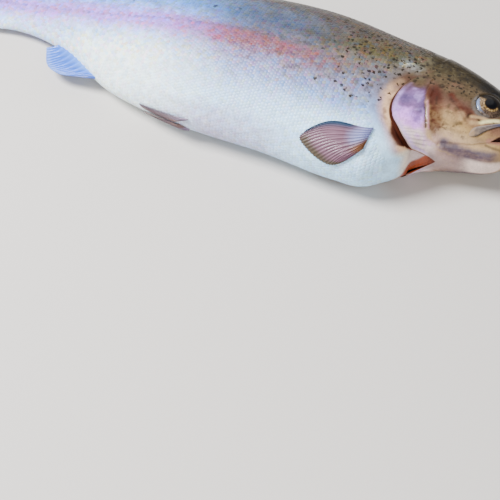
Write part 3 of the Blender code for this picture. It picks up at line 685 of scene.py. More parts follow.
def paint_throat(p):
    """The breast under the head with a painted shadow along the cover's edge, the red hollow of the throat
    with painted shade at its apex and dark mottles, and the red inside of the mouth and the fold."""
    under = ease(p.degrees, 150, 158) * ease(p.behind, -0.0002, 0.0005)
    p.lay("breast", under)
    p.lay("pinkish", under * rest(p.along, 0.166, 0.186) * 0.6)
    # A mauve brown band along the cover's edge: a painted shadow of the edge.
    edge = rest(p.behind + 0.0006 * p.ripple, 0.0010, 0.0030)
    p.lay("pink_brown", under * edge * rest(p.along, 0.176, 0.190) * 0.9)
    turn = np.where(p.side < 0, 360 - p.degrees, p.degrees)
    start = smooth(THROAT_START, p.along) + 2.0 * p.waves
    hollow = under * ease(turn, start - 2.5, start + 2.5)
    p.lay("throat", hollow)
    # The hollow's apex under the covers darkened as painted shade, then the same dark laid as random mottles.
    p.lay("throat_shade_and_mottle", hollow * rest(p.along, 0.138, 0.154) * 0.8)
    p.lay("throat_shade_and_mottle", hollow * ease(p.ripple + 0.5 * p.waves, 0.20, 0.90) * 0.5)
    mouth_end = 0.10
    p.lay("mouth", p.inside * (p.along < mouth_end))
    # The fold's inside in the same dark red, partly painted shade under the cover.
    p.lay("rust_red_and_shade", p.inside * (p.along > mouth_end))
    p.lay("throat", p.inside * (p.along > mouth_end) * ease(p.degrees, 152, 160))


def head_paint(along, up, side, degrees, inside):
    """The colours of the bare head, throat and girdle, and in the alpha how much of the body's own colour
    they cover: all of it on the head, none from the nape and the girdle on."""
    p = HeadPaint(along, up, side, degrees, inside)
    rear_of_head = ease(degrees, 62, 76)
    share = 1 - ease(along, 0.200, 0.236) * (1 - rear_of_head) - ease(p.behind, 0.0055, 0.0120) * rear_of_head
    throat = ease(degrees, 150, 158) * rest(along, 0.178, 0.190)
    paint_crown(p)
    paint_mottle(p)
    paint_cover(p, rear_of_head)
    p.marks(CHEEK_MARKS)
    paint_jaw(p)
    paint_girdle(p)
    paint_throat(p)
    # The painted nape highlight also covers the body's own colour.
    covered = [np.clip(share, 0, 1), throat, 0.9 * np.clip(nape_highlight_patch(p), 0, 1), inside]
    p.paint[..., 3] = np.maximum.reduce(np.broadcast_arrays(*covered))
    return p.paint


# ---------------------------------------------------------------- materials

# Uniform values of the Principled shader that several finishes share.
WET_SKIN = {"Coat Weight": 0.18, "Coat Roughness": 0.12, "IOR": 1.36, "Specular IOR Level": 0.35}

BROAD_NOISE, MIDDLE_NOISE, FINE_NOISE, MOTTLE_NOISE = 45.0, 210.0, 800.0, 95.0  # lumps for each metre
SMALL_SPOTS, LARGE_SPOTS, FIN_SPOTS = 360.0, 190.0, 150.0                       # cells for each metre
SPOT_SOFT = 0.09            # half the soft edge of a spot, as a share of a cell
SPOT_WANDER = 0.0020        # how far a spot's outline wanders, in metres
WANDER_NOISE = 620.0
MIDDLE_GREY = (0.5, 0.5, 0.5)
PUPIL = (0.0003, 0.0004)    # forward and up from the middle of the eye, in metres


class Value:
    """One node's output. Adding, subtracting, multiplying or dividing it with a number or with another
    output makes a Math node and gives its output, so that a formula can be written out."""

    def __init__(self, net, socket):
        self.net, self.socket = net, socket

    def __add__(self, other):
        return self.net.math("ADD", self, other)

    def __sub__(self, other):
        return self.net.math("SUBTRACT", self, other)

    def __rsub__(self, other):
        return self.net.math("SUBTRACT", other, self)

    def __mul__(self, other):
        return self.net.math("MULTIPLY", self, other)

    def __truediv__(self, other):
        return self.net.math("DIVIDE", self, other)

    __radd__, __rmul__ = __add__, __mul__


class Net:
    """Adds nodes to one node tree. An argument is a number, a colour, a vector or a Value."""

    def __init__(self, tree):
        self.tree = tree

    def feed(self, socket, value):
        """Link a Value to a socket, or set the socket to a constant."""
        if isinstance(value, Value):
            self.tree.links.new(value.socket, socket)
        else:
            socket.default_value = value

    def node(self, kind, feeds=None, **settings):
        made = self.tree.nodes.new(kind)
        for name, value in settings.items():
            setattr(made, name, value)
        for key, value in (feeds or {}).items():
            self.feed(made.inputs[key], value)
        return made

    def value(self, kind, feeds=None, output=0, **settings):
        """Add a node and give one of its outputs."""
        return Value(self, self.node(kind, feeds, **settings).outputs[output])

    def math(self, operation, a, b=0.0, clamp=False):
        """A Math node: one operation on a and b."""
        return self.value("ShaderNodeMath", {0: a, 1: b}, operation=operation, use_clamp=clamp)

    def size(self, a):
        return self.math("ABSOLUTE", a)

    def larger(self, a, b):
        return self.math("MAXIMUM", a, b)

    def ease(self, value, low, high):
        """The smooth step of the function ease, as a node; rest and window follow from it in the same way."""
        return self.value("ShaderNodeMapRange", {"Value": value, "From Min": low, "From Max": high},
                          interpolation_type="SMOOTHSTEP")

    def rest(self, value, low, high):
        return self.math("SUBTRACT", 1.0, self.ease(value, low, high), True)

    def window(self, value, rise, fall):
        return self.ease(value, *rise) * self.rest(value, *fall)

    def mix(self, share, a, b, blend_type="MIX"):
        """From a to b by a share. A colour may be given by its name."""
        a, b = [COLOUR[end] if isinstance(end, str) else end for end in (a, b)]
        return self.value("ShaderNodeMix", {0: share, 6: a, 7: b}, 2, data_type="RGBA", blend_type=blend_type)

    def vector(self, operation, feeds):
        return self.value("ShaderNodeVectorMath", feeds, operation=operation)

    def scaled(self, colour, factor):
        return self.vector("SCALE", {0: colour, 3: factor})

    def ladder(self, value, stops):
        """A colour ramp through named colours at the heights of a ladder."""
        made = self.node("ShaderNodeValToRGB", {"Fac": value})
        ramp = made.color_ramp
        steps = [((height - LADDER_LOW) / LADDER_SPAN, COLOUR[name]) for height, name in stops]
        for element, (position, colour) in zip(ramp.elements, (steps[0], steps[-1])):
            element.position, element.color = position, colour
        for position, colour in steps[1:-1]:
            ramp.elements.new(position).color = colour
        return Value(self, made.outputs[0])

    def noise(self, vector, scale, detail=2.0, output="Fac"):
        return self.value("ShaderNodeTexNoise", {"Vector": vector, "Scale": scale, "Detail": detail}, output)

    def cells(self, vector, scale):
        """The distance to the nearest middle of a cell, and a random colour of that cell's own."""
        made = self.node("ShaderNodeTexVoronoi", {"Vector": vector, "Scale": scale, "Randomness": 1.0})
        return Value(self, made.outputs["Distance"]), Value(self, made.outputs["Color"])

    def split(self, vector, kind="ShaderNodeSeparateXYZ"):
        return [Value(self, part) for part in self.node(kind, {0: vector}).outputs]

    def mark(self, name, output="Vector"):
        return self.value("ShaderNodeAttribute", None, output, attribute_name=name, attribute_type="GEOMETRY")

    def here(self):
        return self.value("ShaderNodeTexCoord", None, "Object")

    def bump(self, height, strength, distance):
        return self.value("ShaderNodeBump", {"Height": height, "Strength": strength, "Distance": distance})


def new_group(name, inputs, outputs):
    """An empty node group with named sockets: its net, its given values and the sockets of its results."""
    tree = bpy.data.node_groups.new(name, "ShaderNodeTree")
    for in_out, sockets in (("INPUT", inputs), ("OUTPUT", outputs)):
        for label, kind in sockets.items():
            tree.interface.new_socket(label, in_out=in_out, socket_type=kind)
    net = Net(tree)
    given = net.node("NodeGroupInput").outputs
    return net, {label: Value(net, given[label]) for label in inputs}, net.node("NodeGroupOutput").inputs


def new_material(name, **uniform):
    """A Principled material with its uniform values set, its net, and its shader's inputs."""
    made = bpy.data.materials.new(name)
    made.use_nodes = True
    shader = made.node_tree.nodes["Principled BSDF"].inputs
    for label, value in uniform.items():
        shader[label].default_value = value
    return made, Net(made.node_tree), shader


def body_colour(net, along, up, broad, middle):
    """The scaled body: a ladder of colour from belly to back at its front, middle and rear, run into one
    another along the fish, and over them the rose stripe, dark and pale flecks, the lateral line and
    the grey tail."""
    height = up + (broad * 0.026 + middle * 0.020)
    step = (height - LADDER_LOW) / LADDER_SPAN
    front, centre, rear = [net.ladder(step, ladder) for ladder in BODY_LADDERS]
    body = net.mix(net.ease(along, 0.31, 0.46), front, centre)
    body = net.mix(net.ease(along, 0.48, 0.68), body, rear)
    stripe = net.window(height, (-0.026, -0.010), (0.008, 0.022))
    stripe = stripe * net.window(along, (0.31, 0.35), (0.52, 0.70))
    body = net.mix(stripe * (net.ease(broad + middle, -0.05, 0.20) * 0.65), body, "rose")
    flecks = net.ease(up, -0.075, -0.030) * net.rest(along, 0.40, 0.60)
    body = net.mix(flecks * (net.ease(middle, 0.02, 0.14) * 0.55), body, "fleck")
    pale = flecks * net.rest(up, -0.010, 0.012)
    body = net.mix(pale * (net.rest(middle, -0.16, -0.05) * 0.35), body, "front_pale")
    line_height = net.rest(along, 0.16, 0.80) * 0.036
    body = net.mix(net.rest(net.size(up - line_height), 0.0006, 0.0030) * 0.30, body, "fleck")
    return net.mix(net.ease(along, 0.975, 1.030) * 0.85, body, "fin_grey")


def spots_mask(net, place, along, up):
    """Black spots: discs round the middles of cells whose chance is under the density of their region,
    small on the shoulder and larger on the back, and uneven at their edges because their places wander."""
    shoulder = net.ease(up, -0.060, -0.020) * net.rest(along, 0.28, 0.40) * net.ease(along, 0.215, 0.235)
    crown = net.ease(up, 0.006, 0.028) * net.rest(along, 0.26, 0.42)
    back = net.ease(up, 0.030, 0.070) * net.ease(along, 0.24, 0.36)
    wander = net.vector("SUBTRACT", {0: net.noise(place, WANDER_NOISE, 0.0, "Color"), 1: MIDDLE_GREY})
    wandering = net.vector("ADD", {0: place, 1: net.scaled(wander, SPOT_WANDER)})

    def spots(scale, density, smallest, spread):
        distance, own = net.cells(wandering, scale)
        chance, larger, _ = net.split(own, "ShaderNodeSeparateColor")
        present = net.math("LESS_THAN", chance, density)
        reach = smallest + larger * spread
        return net.rest(distance, reach - SPOT_SOFT, reach + SPOT_SOFT) * present

    small = spots(SMALL_SPOTS, net.larger(crown * 0.92, shoulder * 0.40), 0.19, 0.25)
    large = spots(LARGE_SPOTS, net.larger(back * 0.30, crown * 0.55), 0.12, 0.17)
    return net.larger(small, large * 0.8) * 0.92


def markings_group():
    """The trout's markings at a place on the fish: the body's colours with the head's paint over them,
    black spots, and a mottled shade, with the roughness and the fine height that go with it."""
    net, given, out = new_group(
        "trout_markings",
        {"Fish place": "NodeSocketVector", "Place": "NodeSocketVector", "Paint": "NodeSocketColor",
         "Paint share": "NodeSocketFloat"},
        {"Colour": "NodeSocketColor", "Roughness": "NodeSocketFloat", "Height": "NodeSocketFloat"})
    place = given["Place"]
    along, up, _ = net.split(given["Fish place"])
    broad, middle, fine, mottled = [net.noise(place, scale) - 0.5 for scale in
                                    (BROAD_NOISE, MIDDLE_NOISE, FINE_NOISE, MOTTLE_NOISE)]
    body = body_colour(net, along, up, broad, middle)
    painted = net.mix(given["Paint share"], body, given["Paint"])
    spotted = net.mix(spots_mask(net, place, along, up), painted, "spot")
    shade = 1.0 + (fine * 0.50 + (middle * 0.60 + mottled * net.ease(up, 0.006, 0.036)))
    net.feed(out["Colour"], net.scaled(spotted, shade))
    net.feed(out["Roughness"], 0.40 + middle * 0.30)
    net.feed(out["Height"], fine * 0.6 + middle * 0.4)
    return net.tree


def marked(net, group):
    """The markings group placed in a material and fed with the piece's own marks: its results by name."""
    made = net.node("ShaderNodeGroup", {}, node_tree=group)
    feeds = {"Fish place": net.mark("fish"), "Place": net.here(), "Paint": net.mark("paint", "Color"),
             "Paint share": net.mark("paint", "Alpha")}
    for label, value in feeds.items():
        net.feed(made.inputs[label], value)
    return {socket.name: Value(net, socket) for socket in made.outputs}


def skin_finish(group):
    """Wet bare skin: the markings, a fine pebbled bump and a thin clear coat of slime."""
    made, net, shader = new_material("trout_skin", **{**WET_SKIN, "Coat Roughness": 0.10})
    shown = marked(net, group)
    net.feed(shader["Base Color"], shown["Colour"])
    net.feed(shader["Roughness"], shown["Roughness"])
    net.feed(shader["Normal"], net.bump(shown["Height"], 0.35, 0.0006))
    return made


def scale_finish(group):
    """A scale: the markings, a shade and a warm or cool tint of its own, and a darker root."""
    made, net, shader = new_material("trout_scale", **WET_SKIN)
    shown = marked(net, group)
    colour = shown["Colour"]
    for share, tint in zip(net.split(net.mark("tint")), ("scale_warm", "scale_cool", "scale_rosy")):
        colour = net.mix(share, colour, tint, "MULTIPLY")
    shade = net.mark("own", "Fac") + net.mark("reach", "Fac") * 0.12
    net.feed(shader["Base Color"], net.scaled(colour, shade))
    net.feed(shader["Roughness"], shown["Roughness"])
    return made


def fin_finish(name, leading, trailing, web, lead, tip, spots=0.0):
    """A fin's membrane: ray lines along its own u, a darker leading edge, a tinted root and rim, and spots.
    Its root is `leading` on the leading side and `trailing` on the trailing side."""
    made, net, shader = new_material(name, **{**WET_SKIN, "Coat Weight": 0.25, "Specular IOR Level": 0.5,
                                              "Roughness": 0.42})
    across, down, ray = net.split(net.mark("fin"))
    haze = net.noise(net.here(), 160.0, 3.0)
    leading, trailing, web, lead, tip = [end + (1.0,) for end in (leading, trailing, web, lead, tip)]
    root = net.mix(net.ease(across + haze * 0.2, 0.45, 0.75), leading, trailing)
    colour = net.mix(net.ease((down + haze * 0.3) + across * -0.22, 0.18, 0.52), root, web)
    colour = net.mix(net.rest(across, 0.02, 0.16) * net.ease(down, 0.16, 0.38), colour, lead)
    tipped = net.ease(down + haze * 0.12, 0.88, 1.0) * net.ease(across, 0.06, 0.24)
    colour = net.mix(tipped * 0.85, colour, tip)
    ribs = (ray - 0.6) * (net.ease(down, 0.0, 0.35) * 0.36)
    shade = (0.94 + ribs) * (0.80 + haze * 0.4)
    if spots:
        distance = net.cells(net.here(), FIN_SPOTS)[0]
        spot = net.rest(distance, 0.20, 0.32) * net.ease(down, 0.02, 0.12)
        colour = net.mix(spot * spots, colour, "spot")
    net.feed(shader["Base Color"], net.scaled(colour, shade))
    return made


def eye_finish():
    """The eye: a black pupil in a brown and gold ring, tan behind it, a silver blue crescent behind and
    below, grey brown below, and over its top a painted shadow of the brow."""
    made, net, shader = new_material("trout_eye", **{"Roughness": 0.38, "Coat Weight": 0.30,
                                                     "Coat Roughness": 0.05, "Specular IOR Level": 0.12})
    forward, across, _ = net.split(net.mark("eye"))
    haze = net.noise(net.mark("eye"), 1100.0, 3.0)
    drift = (haze - 0.5) * 0.0014

    def reach(right, above, stretch=1.0):
        x, y = (forward - right) / stretch, across - above
        return net.math("SQRT", x * x + y * y)

    def drifting(low, high, name):
        return net.mix(net.ease(haze, low, high), f"{name}_dark", name)

    from_pupil = reach(*PUPIL)
    tan, gold = drifting(0.38, 0.66, "iris_tan"), drifting(0.38, 0.66, "iris_gold")
    brown = drifting(0.35, 0.65, "iris_brown")
    silver = net.mix(net.ease(net.size(across + 0.0016), 0.0010, 0.0056), "iris_silver", "iris_steel")
    seen = net.mix(net.ease(from_pupil + drift, 0.0040, 0.0045), "iris_ring", gold)
    seen = net.mix(net.ease(from_pupil + drift, 0.0049, 0.0057), seen, brown)
    seen = net.mix(net.rest(forward, -0.0044, -0.0022) * net.ease(from_pupil, 0.0040, 0.0046), seen, tan)
    behind = net.ease(forward * -0.78 + across * -0.62, 0.0026, 0.0060)
    crescent = net.ease(reach(0.0012, 0.0006) + drift, 0.0076, 0.0084)
    seen = net.mix(crescent * (behind * net.ease(across, -0.0080, -0.0052)), seen, silver)
    # The eye's top painted near black as the shadow under the brow.
    seen = net.mix(net.ease((across + drift) + forward * 0.34, 0.0002, 0.0024), seen, "iris_brow_shadow")
    seen = net.mix(net.ease(reach(0.0, 0.0), 0.0081, 0.0086), seen, "eye_rim")
    net.feed(shader["Base Color"], net.mix(net.ease(reach(*PUPIL, 1.10), 0.0033, 0.0037), "pupil", seen))
    return made


def plate_finish():
    """Bone skin: blue grey in front, then tan grey like the cheek, with a brown grey painted shadow along the
    lower edge."""
    made, net, shader = new_material("jaw_plate", **WET_SKIN, Roughness=0.42)
    run, across, _ = net.split(net.mark("strip"))
    haze = net.noise(net.here(), 420.0, 3.0)
    drift = (haze - 0.5) * 0.3
    colour = net.mix(net.ease(haze, 0.35, 0.65), "plate_dark", "plate_light")
    colour = net.mix(net.rest(run + drift, 0.30, 0.66), colour, "plate_blue")
    colour = net.mix(net.ease(run + drift, 0.70, 0.98), colour, "plate_tan")
    colour = net.mix(net.ease(across + drift, 0.45, 0.95) * 0.7, colour, "plate_edge")
    # The plate's lower edge painted dark as the shadow it casts on the jaw.
    lower = net.rest(across, -0.95, -0.45) * net.rest(run, 0.90, 0.98)
    net.feed(shader["Base Color"], net.mix(lower * 0.9, colour, "plate_shadow_line"))
    return made


def tongue_finish():
    """Wet pink flesh that drifts between two colours with noise, with a fine bump."""
    made, net, shader = new_material("tongue_pink", **{"Coat Weight": 0.5, "Coat Roughness": 0.12,
                                                       "Roughness": 0.35})
    scale = 300.0
    haze = net.noise(net.here(), scale, 4.0)
    net.feed(shader["Base Color"], net.mix(net.ease(haze, 0.3, 0.7), "tongue_dark", "tongue_light"))
    net.feed(shader["Normal"], net.bump(net.noise(net.here(), scale * 4), 0.3, 0.0003))
    return made


# ---------------------------------------------------------------- the skin

SKIN_NODES = ["head", "trunk", "tail_stalk", "lower_jaw", "throat", "gill_cover_right", "gill_cover_left"]
ROUND = np.linspace(0, 2 * math.pi, 2 * HALF_COLUMNS + 1)[None, :]     # one ring of the body, from the back
MOUTH_GAP = 0.004           # where the lips are this far apart, the mouth is hollowed in full
UPPER_HOLLOW, LOWER_HOLLOW = 0.007, -0.010
RAY_HEIGHT = 0.00012        # of the rays low on the gill cover

# Two nostrils and the low mound round them, as (height, place, half sizes, softness).
NOSTRILS = [(-0.0009, (0.046, 0.0165), (0.0012, 0.0010), 0.8),
            (-0.0009, (0.0525, 0.0180), (0.0012, 0.0010), 0.8),
            (0.0003, (0.0492, 0.0172), (0.0030, 0.0022), 0.9)]
# Grooves and ridges of the head as (height, line, half width, soft edge).
GROOVES = [(-0.0006, CHEEK_BONE[:6], 0.0001, 0.0009),
           (0.0005, ahead_of(CHEEK_BONE[1:], 0.005), 0.0002, 0.0022),
           (-0.0004, [(0.150, 0.012), (0.140, 0.004), (0.125, -0.014), (0.112, -0.026)], 0.0001, 0.0012),
           (-0.0003, [(0.168, -0.046), (0.190, -0.048), (0.222, -0.050)], 0.0001, 0.0008),
           (-0.0005, [(0.140, -0.064), (0.110, -0.061), (0.090, -0.058), (0.030, -0.038)], 0.0001, 0.0012)]


def sheet(along, angle, out):
    """One grid of the skin: its points, its places on the fish, its places in the bake, and 0 for each
    point, because it is not inside the mouth or the gill slit."""
    along, angle, out = np.broadcast_arrays(along, angle, out)
    fish = np.stack([along, *section(along, angle)], -1)
    return surface(along, angle, out), fish, bake_place(along, angle), np.zeros(along.shape)


def squared_rows(first, count):
    """Rows from the first to the corner of the mouth, as squares of equal steps so that round ends are
    even."""
    return first + (CORNER_ALONG - first) * (np.linspace(0, 1, count + 1)**2)[:, None]


def upper_jaw_sheet():
    """The head above the mouth: each row runs from the left lip over the back to the right lip."""
    rows = squared_rows(0, UPPER_ROWS)
    lip = angle_of(rows, straight(UPPER_LIP, rows) + lip_roll(rows) / BODY_LENGTH)
    lip[-1] = math.pi * CORNER_COLUMN / HALF_COLUMNS
    share = np.linspace(-1, 1, 2 * CORNER_COLUMN + 1)[None, :]
    return sheet(rows, lip * share, -HEAD_DEPTH), rows[:, 0], lip[:, 0]


def lower_jaw_sheet():
    """The lower jaw from its tip, where its lips meet: each row runs from the right lip under to the left."""
    steps = np.linspace(0, CORNER_ALONG, 2000)
    lips = straight(LOWER_LIP, steps) - lip_roll(steps) / BODY_LENGTH
    tip = steps[np.argmax(smooth(BELLY, steps) * nose_round(steps) > -lips)]
    rows = squared_rows(tip, LOWER_ROWS)
    lip = angle_of(rows, straight(LOWER_LIP, rows) - lip_roll(rows) / BODY_LENGTH)
    lip[0] = math.pi
    lip[-1] = math.pi * CORNER_COLUMN / HALF_COLUMNS
    share = np.linspace(0, 1, 2 * (HALF_COLUMNS - CORNER_COLUMN) + 1)[None, :]
    return sheet(rows, lip + (2 * math.pi - 2 * lip) * share, -HEAD_DEPTH), rows[:, 0], lip[:, 0]


def mouth_opening(along):
    """The gap between the lips in the side view, in metres."""
    return (straight(UPPER_LIP, along) - straight(LOWER_LIP, along)) * BODY_LENGTH


def lip_roll(along):
    """The radius of the rolled lip, in metres: LIP_ROLL, and less where the lips come together."""
    return np.minimum(LIP_ROLL, 0.45 * np.maximum(mouth_opening(along), 0))


def body_sheet():
    """From the corner of the mouth to the end of the stalk. Rows bend from a straight ring to the edge of
    the gill cover, fold in under it, come out again in the slit, and straighten towards the tail."""
    edge, degrees = gill_edge(ROUND)
    cheek = blend(CORNER_ALONG, edge, np.linspace(0, 1, CHEEK_ROWS + 1)[:-1, None])
    folded = ease(degrees, *SLIT_OPENS) * (1 - 0.8 * ease(degrees, 154, 176))
    behind, depth = np.array(FOLD).T[:, :, None]
    even = np.linspace(0, FOLD[-1][0], len(FOLD))[:, None]
    fold = edge + blend(even, behind, folded) / BODY_LENGTH
    nape = np.linspace(0, NAPE_SHARE, NAPE_ROWS + 1)[1:]
    flank = np.linspace(NAPE_SHARE, 1, FLANK_ROWS + 1)[1:]
    rear = blend(fold[-1:], 1, np.concatenate([nape, flank])[:, None])
    out = np.concatenate([np.full(cheek.shape, -HEAD_DEPTH), blend(-HEAD_DEPTH, depth, folded),
                          ground_depth(rear, np.broadcast_to(ROUND, rear.shape))])
    points, fish, unwrap, inside = sheet(np.concatenate([cheek, fold, rear]), ROUND, out)
    inside[len(cheek) + FOLD_TURN:len(cheek) + len(FOLD)] = folded
    return points, fish, unwrap, inside


def tail_root_sheet():
    """The flesh over the root of the tail: the last ring carried on, thinning to nothing inside the fin."""
    t = np.linspace(0, 1, 15)[:, None]
    up, side = section(np.ones(1), ROUND)
    end_reach, end_width = BELLY[-1][1], HALF_WIDTH[-1][1]
    reach = TAIL_FLESH * t * (1 - 0.4 * (up / end_reach)**2)
    up = up * (1 - COAT_DEPTH / (BACK[-1][1] * BODY_LENGTH)) * (1 - 0.10 * t)
    thin = side * (1 - COAT_DEPTH / (end_width * BODY_LENGTH)) * np.sqrt(np.maximum(1 - t**1.5, 0))
    drop = 1 - reach / FIN_DROP
    middle = smooth(MID_HEIGHT, 1.0) + LEAN * up
    along = 1 + reach
    points = place(along, up, thin + middle * (drop**2 - 1))
    points[0] = surface(np.ones(ROUND.shape), ROUND, -COAT_DEPTH)
    return points, np.stack([along, up, thin], -1), bake_place(along, ROUND), np.zeros(along.shape)


def lip_outline(upper_rows, upper_angle, lower_rows, lower_angle):
    """The lip's places from the snout to the corner of the mouth and along the lower jaw to its tip, the
    angle of each, and 1 on the upper lip and -1 on the lower."""
    first = int(np.argmax(upper_angle < math.pi - 1e-6)) - 1
    along = np.concatenate([upper_rows[first:], lower_rows[-2::-1]])
    angle = np.concatenate([upper_angle[first:], lower_angle[-2::-1]])
    top = np.concatenate([np.ones(len(upper_rows) - first), -np.ones(len(lower_rows) - 1)])
    return along, angle, top


def mouth_sheet(along, angle, top, sign):
    """The inside of the mouth on one side: from the lip over a half round roll, and in to the throat,
    hollowed by a sine. Columns follow the lip's outline."""
    up, side = section(along, angle)
    side = np.abs(side)
    side[0] = side[-1] = 0.0
    ahead = np.stack([np.gradient(along), np.gradient(side)], -1) * top[:, None]
    ahead /= np.maximum(np.linalg.norm(ahead, axis=1, keepdims=True), TINY)
    ahead[0] = ahead[-1] = (0.0, 1.0)
    roll = (lip_roll(along) / BODY_LENGTH)[:, None]
    turn = np.radians(np.linspace(0, 180, 8))[None, :]
    rolled = np.stack([along[:, None] + ahead[:, 1:] * roll * (1 - np.cos(turn)),
                       up[:, None] - top[:, None] * roll * np.sin(turn),
                       side[:, None] - ahead[:, :1] * roll * (1 - np.cos(turn))], -1)
    t = np.linspace(0, 1, 17)[None, 1:, None]
    wide = np.clip(mouth_opening(along) / MOUTH_GAP, 0, 1)[:, None, None] * np.array([0.0, 1.0, 0.0])
    hollow = np.where(top[:, None, None] > 0, UPPER_HOLLOW, LOWER_HOLLOW) * wide * np.sin(math.pi * t**0.8)
    inner = blend(rolled[:, -1:, :], np.array(THROAT_END), t) + hollow
    fish = np.concatenate([rolled, inner], 1)
    fish[..., 2] = np.maximum(fish[..., 2], 0) * sign
    points = place(fish[..., 0], fish[..., 1], fish[..., 2])
    points[:, 0] = surface(along, sign * angle, -HEAD_DEPTH)
    # In the bake each side of the mouth has a strip of its own, below the body.
    columns, rows = fish.shape[:2]
    k, m = np.meshgrid(np.linspace(0, 0.45, columns), np.linspace(0.01, 0.08, rows), indexing="ij")
    unwrap = np.stack([k + (0.02 if sign > 0 else 0.52), m], -1)
    return points, fish, unwrap, np.broadcast_to(ease(np.arange(rows), 1.5, 6.0), k.shape)


def eye_frame(sign):
    """The middle of an eye's place on the head, with the outward, forward and upward directions there."""
    along, up = np.array(EYE_PLACE[0]), np.array(EYE_PLACE[1])
    angle = sign * angle_of(along, up)
    outward, forward, _ = directions(along, angle)
    return surface(along, angle, 0.0), outward, forward, sign * np.cross(outward, forward)


def relief(points, fish, inside):
    """How far the skin stands out of its smooth surface, in metres: a socket with a raised rim round each
    eye, nostrils, the grooves and ridges of the cheek bones and the jaw, and the rays of the gill
    cover."""
    along, up, side = fish.T
    out = np.zeros(len(along))
    for sign in (1, -1):
        reach = np.linalg.norm(points - eye_frame(sign)[0], axis=-1)
        out -= SOCKET_DEPTH * rest(reach, 0.0070, 0.0083)
        out += BROW_HEIGHT * np.exp(-((reach - 0.0096) / 0.0011)**2)
    sides = ease(np.abs(side), 0.004, 0.010)
    for height, *spot in NOSTRILS:
        out += height * near_spot(along, up, *spot) * sides
    for height, *line in GROOVES:
        out += height * near_line(along, up, *line)
    rays = cover_stripes(along, up) * ease(-up, 0.050, 0.058) * ease(along, 0.160, 0.168)
    out += RAY_HEIGHT * rays * (along < smooth(GILL_EDGE, np.degrees(angle_of(along, up))) - 0.002)
    return out * (1 - inside)


def join_sheets(sheets):
    """One list of points, places, insides, faces and bake places from several grids. A face's bake places
    are moved together, by whole images, to where its middle lies in the image."""
    joined = [], [], [], [], []
    first = 0
    for points, fish, unwrap, inside in sheets:
        rows, columns, _ = points.shape
        corner = quads(rows, columns)
        spread = unwrap.reshape(-1, 2)[corner]
        spread[..., 0] -= np.floor(spread[..., 0].mean(axis=1, keepdims=True) - 1e-9)
        parts = (points.reshape(-1, 3), fish.reshape(-1, 3), inside.ravel(), corner + first,
                 spread.reshape(-1, 2))
        for whole, part in zip(joined, parts):
            whole.append(part)
        first += rows * columns
    return [np.concatenate(whole) for whole in joined]


def read_mesh(data, field, width):
    """A mesh's values as an array with one row for each point."""
    values = np.zeros(len(data) * width, np.float32)
    data.foreach_get(field, values)
    return values.reshape(-1, width).astype(float)


def skin_piece(finish):
    """The whole skin as one closed mesh: the sheets joined along their shared rows, then the relief."""
    upper, upper_rows, upper_angle = upper_jaw_sheet()
    lower, lower_rows, lower_angle = lower_jaw_sheet()
    lip = lip_outline(upper_rows, upper_angle, lower_rows, lower_angle)
    sheets = [upper, lower, body_sheet(), tail_root_sheet(), mouth_sheet(*lip, 1), mouth_sheet(*lip, -1)]
    points, fish, inside, faces, bake = join_sheets(sheets)
    along, up, side = fish.T
    paint = head_paint(along, up, side, np.degrees(angle_of(along, up)), inside)
    piece = build("skin", points, [faces], finish, SKIN_NODES,
                  {"fish": fish, "paint": paint, "inside": inside}, bake)
    close_mesh(piece)
    mesh = piece.data
    where = read_mesh(mesh.vertices, "co", 3)
    normal = read_mesh(mesh.vertex_normals, "vector", 3)
    kept = read_mesh(mesh.attributes["fish"].data, "vector", 3)
    deep = read_mesh(mesh.attributes["inside"].data, "value", 1)[:, 0]
    moved = where + normal * relief(where, kept, deep)[:, None]
    moved[:, 0] = np.minimum(moved[:, 0], cad_high.x - CLEAR)
    moved[:, 2] = np.maximum(moved[:, 2], 0)
    mesh.vertices.foreach_set("co", moved.astype(np.float32).ravel())
    mesh.update()
    return piece


# ---------------------------------------------------------------- the coat of scales

SCALE_PITCH = 0.0022
SCALE_LENGTH = 1.75 * SCALE_PITCH
SCALE_WIDTH = 1.30 * SCALE_PITCH
SCALE_BAND = 10             # rings of scales that share a count
SCALE_START = 0.192
LAST_RING = 1.012           # rings are laid out to here, and the pieces of the coat end before it
BARE_GIRDLE = 0.024         # the bare skin between the gill cover and the coat
SCALE_SIDES = 8
SCALE_TOP = 0.88            # the raised ring as a share of the border
SCALE_BORDER = -0.00013     # the border's depth under the ring, in metres
SCALE_TIP = 0.00002
SCALE_ROOT = -0.00020       # the middle's height, and the rise from the root to the free edge
SCALE_RISE = 0.00022
SCALE_CEILING = -0.00002    # before it is sunk, no point of a scale lies above this
SCALE_JITTER = 0.00003
TINTS_FROM = (0.55, 0.50, 0.65)     # the chance from which a scale is warm, cool or rosy
BAKE_PATCH = 0.003          # the side of a scale's patch in the bake, as a share of the image
END_SINK = 0.00056
BELLY_SINK = 0.00010
COAT_SPLITS = {"scales_front": (0.0, 0.36), "scales_middle": (0.36, 0.56), "scales_rear": (0.56, 0.998)}


def surface_ring(along):
    """The lengths of a ring's steps round the body, and the angles at their ends."""
    turn = np.linspace(0, 2 * math.pi, 721)
    ring = body_place(np.full(turn.shape, min(along, 1.0)), turn)
    return np.linalg.norm(np.diff(ring, axis=0), axis=1), turn


def scale_start(angle):
    """Where the coat begins at an angle: behind the bare skin of the nape, the girdle and the throat."""
    edge, degrees = gill_edge(angle)
    start = blend(SCALE_START, edge + BARE_GIRDLE, ease(degrees, 52, 72))
    return np.maximum(start, SCALE_START)


